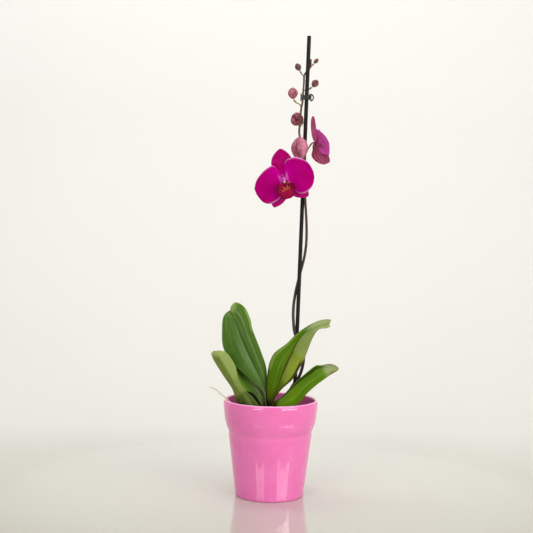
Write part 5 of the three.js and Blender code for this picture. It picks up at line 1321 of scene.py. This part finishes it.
# %% Lip and column finishes
def lip_finish():
    material, tree, shader = start_material("velvet_lip", Roughness=0.4, IOR=1.42, Specular_IOR_Level=0.06)
    surface = add_node(tree, "ShaderNodeUVMap", uv_map="surface").outputs[0]
    place = add_node(tree, "ShaderNodeTexCoord").outputs["Object"]
    stretched = add_node(tree, "ShaderNodeMapping", {"Vector": surface, "Scale": (1, 0.3, 1)}).outputs[0]
    veins = add_node(tree, "ShaderNodeTexWave", {
        "Vector": stretched, "Scale": 5, "Distortion": 2, "Detail": 2}, bands_direction="X").outputs["Fac"]
    spots = add_node(tree, "ShaderNodeTexNoise", {"Vector": place, "Scale": 260, "Detail": 2}).outputs["Fac"]
    # The attribute called rim is above 0 where an edge is dark, and below 0 where it shines.
    edge = add_node(tree, "ShaderNodeAttribute", attribute_name="rim").outputs["Fac"]
    lip_colour = paint(tree, "#7c0730", [("#b00f48", spots), ("#520322", (veins, 0.6, 1.0, 0, 0.5)),
                                         ("#4c0020", edge), ("#c85088", (edge, 0.0, -1.0, 0.0, 0.7))])
    tree.links.new(lip_colour, shader.inputs["Base Color"])
    bump = add_node(tree, "ShaderNodeBump", {"Height": veins, "Strength": 0.3, "Distance": 0.0003})
    tree.links.new(bump.outputs[0], shader.inputs["Normal"])
    return material


velvet_lip = lip_finish()
orange_comb, tree, shader = start_material("orange_comb", Roughness=0.45, IOR=1.42, Specular_IOR_Level=0.3)
place = add_node(tree, "ShaderNodeTexCoord").outputs["Object"]
spots = add_node(tree, "ShaderNodeTexNoise", {"Vector": place, "Scale": 700, "Detail": 2}).outputs["Fac"]
tree.links.new(paint(tree, "#cc7038", [("#a84034", (spots, 0.5, 0.66))]), shader.inputs["Base Color"])

waxy_column, tree, shader = start_material("waxy_column", Roughness=0.4, IOR=1.45, Specular_IOR_Level=0.25,
                                           Subsurface_Weight=0.2, Subsurface_Radius=(1.0, 0.4, 0.8),
                                           Subsurface_Scale=0.001)
surface = add_node(tree, "ShaderNodeUVMap", uv_map="surface").outputs[0]
along = add_node(tree, "ShaderNodeSeparateXYZ", {0: surface}).outputs["Y"]
tree.links.new(paint(tree, "#c858b6", [("#dca48c", (along, 0.8, 0.88))]), shader.inputs["Base Color"])


# %% Lip and column shapes
def middle_lobe(width):
    def surface(u, v):
        spread = 0.45 + 0.55 * np.sin(math.pi / 2 * np.minimum(1, 2 * v))
        half = (width / 2) * spread * np.sqrt(np.maximum(0, 1 - v ** 3.2)) + 1
        return np.stack([half * u, -11 - 18 * v, 9 + 6.5 * np.sin(2.3 * v) - 1.6 * u * u], axis=-1)
    return surface


def side_lobe(side, width):
    def surface(u, v):
        half = 2.4 + 4.6 * np.sin(math.pi * (0.04 + 0.9 * v)) ** 0.8
        return np.stack([side * (1.8 + (width / 2 + 0.2) * v + 0.3 * half * u), -13.5 + 1.2 * v - half * u,
                         9.6 + 5.5 * np.sin(1.6 * v) + 1.2 * u * u], axis=-1)
    return surface


def lip_shapes(width):
    thin = lambda u, v: np.full_like(u, 0.9)
    dark_end = lambda u, v: np.clip(v / 0.5 - 0.9, 0, 1) * 0.9
    # One side lobe curls over and catches the light along its upper edge. Below 0 means shine.
    shiny = lambda u, v: np.where(u < -0.7, -np.sin(math.pi * np.clip((v - 0.1) / 0.8, 0, 1)), dark_end(u, v))
    dark_side = lambda u, v: np.clip(np.abs(u) / 0.4 - 1.5, 0, 1) * 0.6
    shapes = [blade(middle_lobe(width), thin, 24, 30, dark_side)]
    shapes += [blade(side_lobe(side, width), thin, 20, 24, edge)
               for side, edge in ((1, shiny), (-1, dark_end))]
    claw = [(0, -3.1, 2.2), (0, -5.6, 4.2), (0, -9, 7), (0, -13.5, 9.8)]
    shapes.append(tube(claw, lambda t: 1.1 + 1.6 * t))
    shapes.append(ball((0, -15, 12.2), (4.3, 2.3, 2.3)))
    comb = []
    for place, low, high in ((-1.9, -18.2, -15.6), (-1, -17.4, -11.6), (0, -17, -12.6), (1, -16.6, -10.8),
                             (1.9, -16, -13)):
        tooth = [(2.2 * place, low, 13), (2.6 * place, (low + high) / 2, 14.8), (3.2 * place, high, 15.4)]
        comb.append(tube(tooth, lambda t: 0.85 - 0.3 * t * t, 12, 8))
    return shapes + finished(comb, 1)


def column_shapes():
    radius = lambda t: (1.8 + 0.8 * math.sin(math.pi * t * 0.75) - 1.1 * t ** 6) * (1 - max(0, t - 0.93) * 6)
    return [tube([(0, 0.8, 3.1), (0, 0.2, 5.6), (0, -2.6, 9.2), (0, -6.6, 11.4)], radius, 24, 32)]


def placed(shapes, bloom, turn=0):
    """Shapes in a flower's own frame, turned about its axis by degrees and put where the flower is."""
    front_way = unit(np.array(bloom["facing"], float))
    right_way = unit(np.cross(bloom["top"], front_way))
    frame_axes = np.stack([right_way, np.cross(front_way, right_way), front_way])
    c, s = math.cos(math.radians(turn)), math.sin(math.radians(turn))
    spin = np.array([[c, s, 0], [-s, c, 0], [0, 0, 1]])
    return [dict(shape, points=shape["points"] @ spin @ frame_axes + bloom["centre"]) for shape in shapes]


print("a lip has", len(lip_shapes(22)), "shapes, a column", len(column_shapes()))

# %% [markdown]
# ## The two open blooms
#
# Each bloom has a place, the way it faces, and five tepals: the top sepal, the two low sepals and the
# two petals. A tepal is described by its bearing round the flower, its length and width, how it leans,
# curls back and cups, and where its rim is pale.
#
# Not all of these numbers were chosen by hand. The margins of the front bloom's petals follow outlines
# read off the photograph, which a scratch program turned to distances from the petal's middle line. The
# side bloom's top sepal, its low sepal at 206.8 degrees and its petal at -92.2 degrees have the values
# that a scratch program found by a random search against such outlines, rounded, and a few adjusted.

# %% The two open blooms
BLOOMS = {
    "bloom_front": dict(
        centre=(13, -33, 453.4), facing=(-0.04, -1, -0.03), top=(0, 0, 1), lip_width=22, lip_turn=14,
        finishes=(front_sepal, front_petal, front_low_sepal_painted_lighter),
        pale=[[(1, 0.4, 0.9, 0.35), (-1, 0.4, 0.9, 0.3)], [(-1, 0.35, 0.95, 0.5)], [(1, 0.3, 0.9, 0.4)],
              [(-1, 0.12, 0.95, 0.95), (1, 0.3, 0.85, 0.8)], [(1, 0.16, 0.62, 0.95), (-1, 0.2, 0.75, 0.8)]],
        tepals=[
            dict(bearing=-8, length=41, width=30, power=0.95, blunt=0.8, lean=3, recurve=3, cup=-1.5,
                 layer=-1.2),
            dict(bearing=124, length=41, width=25, power=0.95, blunt=0.8, lean=2, recurve=4, cup=1.5,
                 layer=-1.2),
            dict(bearing=198, length=41.5, width=25, power=0.95, blunt=0.85, lean=2, recurve=4, cup=1.5,
                 layer=-1.2),
            dict(bearing=80, length=42, lean=8, recurve=4, cup=2, layer=1.2, wave=1.2, shoulders=(3.5, 0),
                 margins=[(1.4, 17, 25, 26.7, 27.1, 26.1, 24.5, 22.7, 20.8, 16.8, 7),
                          (1.4, 9, 16, 21.2, 24.3, 25, 24.6, 23.1, 21.4, 19.2, 14)]),
            dict(bearing=-113, length=43, lean=8, recurve=4, cup=2, layer=1.2, wave=-1.2, shoulders=(0, 3.5),
                 margins=[(1.4, 10, 18.5, 23, 25, 25.9, 26.6, 26.4, 25.5, 24.6, 19),
                          (1.4, 14, 22.6, 22.6, 21.4, 19.7, 17.5, 15.4, 13, 9.5, 5)])]),
    "bloom_side": dict(
        centre=(59.6, 14, 508.6), facing=(0.92, 0.39, -0.05), top=(-0.06, 0, 1), lip_width=17, lip_turn=0,
        finishes=(side_sepal_painted_lighter, side_petal, side_low_sepal_painted_darker),
        pale=[[(1, 0.3, 0.9, 0.4)], [], [(1, 0.2, 0.7, 0.3)], [], [(-1, 0.1, 1.0, 0.5)]],
        tepals=[
            dict(bearing=-4.9, length=36.4, width=20.7, power=0.91, blunt=0.45, lean=-6.8, recurve=3.3,
                 cup=-2, layer=-1.2, twist=5),
            dict(bearing=142, length=34, width=24, power=0.95, blunt=0.8, lean=28, recurve=3, cup=-3,
                 layer=-1.2),
            dict(bearing=206.8, length=34.8, width=23.2, power=1.11, blunt=0.4, lean=18.2, recurve=-1.7,
                 cup=-4.2, layer=-1.2, twist=36),
            dict(bearing=84, length=36, width=42, power=0.8, blunt=0.62, lean=26, recurve=3, cup=2, layer=1.2,
                 wave=1),
            dict(bearing=-92.2, length=34.7, width=41.9, power=1.14, blunt=0.67, lean=9.3, recurve=4.9,
                 cup=-6, layer=1.2, wave=-1, twist=-33)]),
}


def pale_rim(edges):
    """How pale a blade's rim is: each edge is its side (-1 or 1), where it starts and stops, how pale."""
    def rim_at(u, v):
        pale = 0.06 * np.clip((np.abs(u) - 0.9) / 0.1, 0, 1)
        for side, start, stop, strength in edges:
            inward = np.clip((side * u - 0.91) / 0.07, 0, 1)
            part = np.clip((v - start) / (stop - start), 0, 1)
            pale = np.maximum(pale, strength * inward ** 2 * np.sin(math.pi * part) ** 0.5)
        return pale
    return rim_at


print("blooms:", ", ".join(BLOOMS))

# %% Build the blooms
# Which of a bloom's three finishes each of its tepals takes, in the order above. The low sepals take their
# own copy of the sepal finish, painted lighter in the front bloom and darker in the side bloom.
TEPAL_FINISH = (0, 2, 2, 1, 1)

for name, bloom in BLOOMS.items():
    tepals = []
    for number, (tepal, edges) in enumerate(zip(bloom["tepals"], bloom["pale"])):
        shape = blade(tepal_surface(**tepal), lambda u, v: np.full_like(u, 1.0), 28, 40, pale_rim(edges))
        tepals += finished([shape], TEPAL_FINISH[number])
    tepals += finished([ball((0, 0, -0.4), (3.3, 3.3, 2.6))], 1)
    make_piece(name + "_tepals", placed(tepals, bloom), list(bloom["finishes"]),
               replaces=[name + "_petals"])
    make_piece(name + "_tongue", placed(lip_shapes(bloom["lip_width"]), bloom, bloom["lip_turn"]),
               [velvet_lip, orange_comb], replaces=[name + "_lip"])
    make_piece(name + "_finger", placed(column_shapes(), bloom, bloom["lip_turn"]), [waxy_column],
               replaces=[name + "_column"])

# %% [markdown]
# ## Buds
#
# A bud is a closed flower: three outer sepals meet along three seams, each with a low ridge along its
# back. They are dusty pink-brown and mottled. The largest has started to open at its tip.

# %% Bud finish
def bud_finish(name, dark, light, tip, middle):
    material, tree, shader = start_material(name, Roughness=0.6, IOR=1.42, Specular_IOR_Level=0.15,
                                            Subsurface_Weight=0.1, Subsurface_Radius=(1.0, 0.4, 0.4),
                                            Subsurface_Scale=0.0015)
    surface = add_node(tree, "ShaderNodeUVMap", uv_map="surface").outputs[0]
    place = add_node(tree, "ShaderNodeTexCoord").outputs["Object"]
    numbers = add_node(tree, "ShaderNodeSeparateXYZ", {0: surface})
    mottle = add_node(tree, "ShaderNodeTexNoise", {"Vector": place, "Scale": 260, "Detail": 4}).outputs["Fac"]
    stretched = add_node(tree, "ShaderNodeMapping", {"Vector": surface, "Scale": (1, 0.2, 1)}).outputs[0]
    veins = add_node(tree, "ShaderNodeTexWave", {
        "Vector": stretched, "Scale": 9, "Distortion": 1.5, "Detail": 2}, bands_direction="X").outputs["Fac"]
    # The three seams lie a third of a turn apart, at u = 1/6, 1/2 and 5/6.
    third = add_node(tree, "ShaderNodeMath", {0: numbers.outputs["X"], 1: 3.0}, operation="MULTIPLY")
    part = add_node(tree, "ShaderNodeMath", {0: third.outputs[0]}, operation="FRACT")
    off = add_node(tree, "ShaderNodeMath", {0: part.outputs[0], 1: 0.5}, operation="SUBTRACT")
    off = add_node(tree, "ShaderNodeMath", {0: off.outputs[0]}, operation="ABSOLUTE").outputs[0]
    # The middle of each sepal, where its back bulges, is painted paler: a painted highlight.
    bud_colour = paint(tree, dark, [
        (light, (mottle, 0.42, 0.58)), (dark, (veins, 0.6, 1.0, 0, 0.25)),
        (tip, (numbers.outputs["Y"], 0.6, 1.0, 0, 0.6)), (middle, (off, 0.18, 0.5, 0, 0.55)),
        ("#552030", (off, 0.012, 0.05, 0.8, 0.0))])
    tree.links.new(bud_colour, shader.inputs["Base Color"])
    bump = add_node(tree, "ShaderNodeBump", {"Height": mottle, "Strength": 0.3, "Distance": 0.0003})
    tree.links.new(bump.outputs[0], shader.inputs["Normal"])
    return material


# %% Buds from their numbers
BUDS = {
    "bud_opening": dict(tip=(36.2, -9.5, 484.9), radius=12.3, ridge=0.05, narrow=1.15, parted=1, blunt=0.45,
                        spin=60),
    "bud_round": dict(tip=(28, 33, 545), radius=9.7, ridge=0.04, spin=20),
    "bud_left": dict(tip=(23.4, 7.6, 586.4), radius=7.2, narrow=1.05),
    "bud_right": dict(tip=(60.4, 16, 598.6), radius=5.1, narrow=1.1),
    "bud_high_left": dict(tip=(29, 14, 622), radius=4.4, narrow=1.1),
    "bud_high_right": dict(tip=(60.6, 14, 629.3), radius=2.9, ridge=0.05),
}
# The dark and the light of its mottle, its tip, and the painted highlight along the middle of each sepal.
BUD_TONES = {
    "bud_opening": ("#a2506a", "#c2788e", "#b45f7c", "#d48fa2"),
    "bud_round": ("#702438", "#b87080", "#9c5464", "#a05a6a"),
    "bud_left": ("#8c4654", "#be7480", "#84504f", "#b87680"),
    "bud_right": ("#4a2428", "#8c5a5c", "#6c4446", "#a06c6c"),
    "bud_high_left": ("#553834", "#7c5652", "#4f3832", "#7c5652"),
    "bud_high_right": ("#664440", "#8c625c", "#5a3c38", "#8c625c"),
}


def bud_shape(stalk, tip, radius, ridge=0.06, narrow=1, parted=0, blunt=0.6, spin=0):
    """A closed oval from the end of its stalk to its tip, with three ridges and three seams."""
    end = Vector(stalk[-1])
    heading = (end - Vector(stalk[-2])).normalized()
    lean = heading.angle(Vector(tip) - end)
    root = end + heading * (0.6 + STALK_RADIUS * math.sin(lean))
    axis = Vector(tip) - root
    length = axis.length
    turn = np.array(Vector((0, 1, 0)).rotation_difference(axis.normalized()).to_matrix())
    angle, pole = np.meshgrid(np.linspace(0, 2 * math.pi, 73), np.linspace(0, math.pi, 49))
    h = (1 - np.cos(pole)) / 2
    flat = np.sin(pole)
    sector = angle + math.radians(spin)
    ridged = 1 + ridge * np.cos(3 * sector) * np.sin(math.pi * h)
    from_seam = np.mod(3 * sector / (2 * math.pi), 1) - 0.5
    seam = 1 - 0.035 * np.exp(-(from_seam / 0.045) ** 2) * np.sin(math.pi * h)
    body = radius * np.maximum(np.sin(math.pi * h ** narrow), 0) ** blunt * ridged * seam
    lift = parted * 6 * np.cos(3 * sector) * np.maximum(0, h - 0.72) / 0.28 * flat
    places = np.stack([np.cos(angle) * body, h * length + lift, np.sin(angle) * body], axis=-1)
    return patch(places @ turn.T + np.array(root), sector / (2 * math.pi), h)


for name, form in BUDS.items():
    finish = bud_finish("mottled_" + name, *BUD_TONES[name])
    make_piece(name + "_sepals", [bud_shape(STALKS[name], **form)], [finish], replaces=[name])

# %% [markdown]
# ## Clip
#
# A small sprung clip of dark tinted plastic holds spike and stake together. The solids of its two jaws
# are right as they are and move with the hinge, so they keep their shape and get a finish. The spring
# is a coil of round wire, which is remade on its path with rounder wire.

# %% Clip finishes and spring
tinted_plastic, tree, shader = start_material("injection_moulded_tinted_abs", Roughness=0.22, IOR=1.53,
                                              Coat_Weight=0.3, Coat_Roughness=0.1)
place = add_node(tree, "ShaderNodeTexCoord").outputs["Object"]
flow = add_node(tree, "ShaderNodeTexNoise", {"Vector": place, "Scale": 300, "Detail": 2}).outputs["Fac"]
tree.links.new(paint(tree, "#1a201a", [("#333b31", flow)]), shader.inputs["Base Color"])

spring_steel, tree, shader = start_material("drawn_spring_steel", Metallic=1.0, Roughness=0.28)
place = add_node(tree, "ShaderNodeTexCoord").outputs["Object"]
drawn = add_node(tree, "ShaderNodeTexNoise", {"Vector": place, "Scale": 2500, "Detail": 2}).outputs["Fac"]
tree.links.new(paint(tree, "#a8a8a2", [("#c8c8c2", drawn)]), shader.inputs["Base Color"])

for name, material in (("clip_front_jaw", tinted_plastic), ("clip_back_jaw", tinted_plastic),
                       ("clip_pin", spring_steel)):
    for slot in nodes[name].material_slots:
        slot.material = material

CLIP_HEIGHT, CLIP_PIN_OFFSET = 573, 5.0
stake_way = (STAKE_TOP - STAKE_FOOT).normalized()
clip_middle = STAKE_FOOT + stake_way * ((CLIP_HEIGHT - STAKE_FOOT.z) / stake_way.z)
pin_foot = clip_middle + Vector((CLIP_PIN_OFFSET, 0, 0))
pin_turn = Vector((0, 0, 1)).rotation_difference(stake_way).to_matrix()
COIL_TURNS, COIL_RADIUS, COIL_START, COIL_PITCH = 3, 1.45, 3.6, 0.62
coil = []
for step in range(8 * COIL_TURNS + 1):
    angle = 2 * math.pi * step / 8
    coil.append(pin_foot + pin_turn @ Vector((COIL_RADIUS * math.cos(angle), COIL_RADIUS * math.sin(angle),
                                              COIL_START + COIL_PITCH * step / 8)))
spring = grown("coil_spring", path_curve("coil_path", [coil]), STEM, Root_radius=0.25 * MM,
               Tip_radius=0.25 * MM, Sides=10, Step=0.2 * MM, Finish=spring_steel)
dress(spring, "plant", ["clip_spring"])
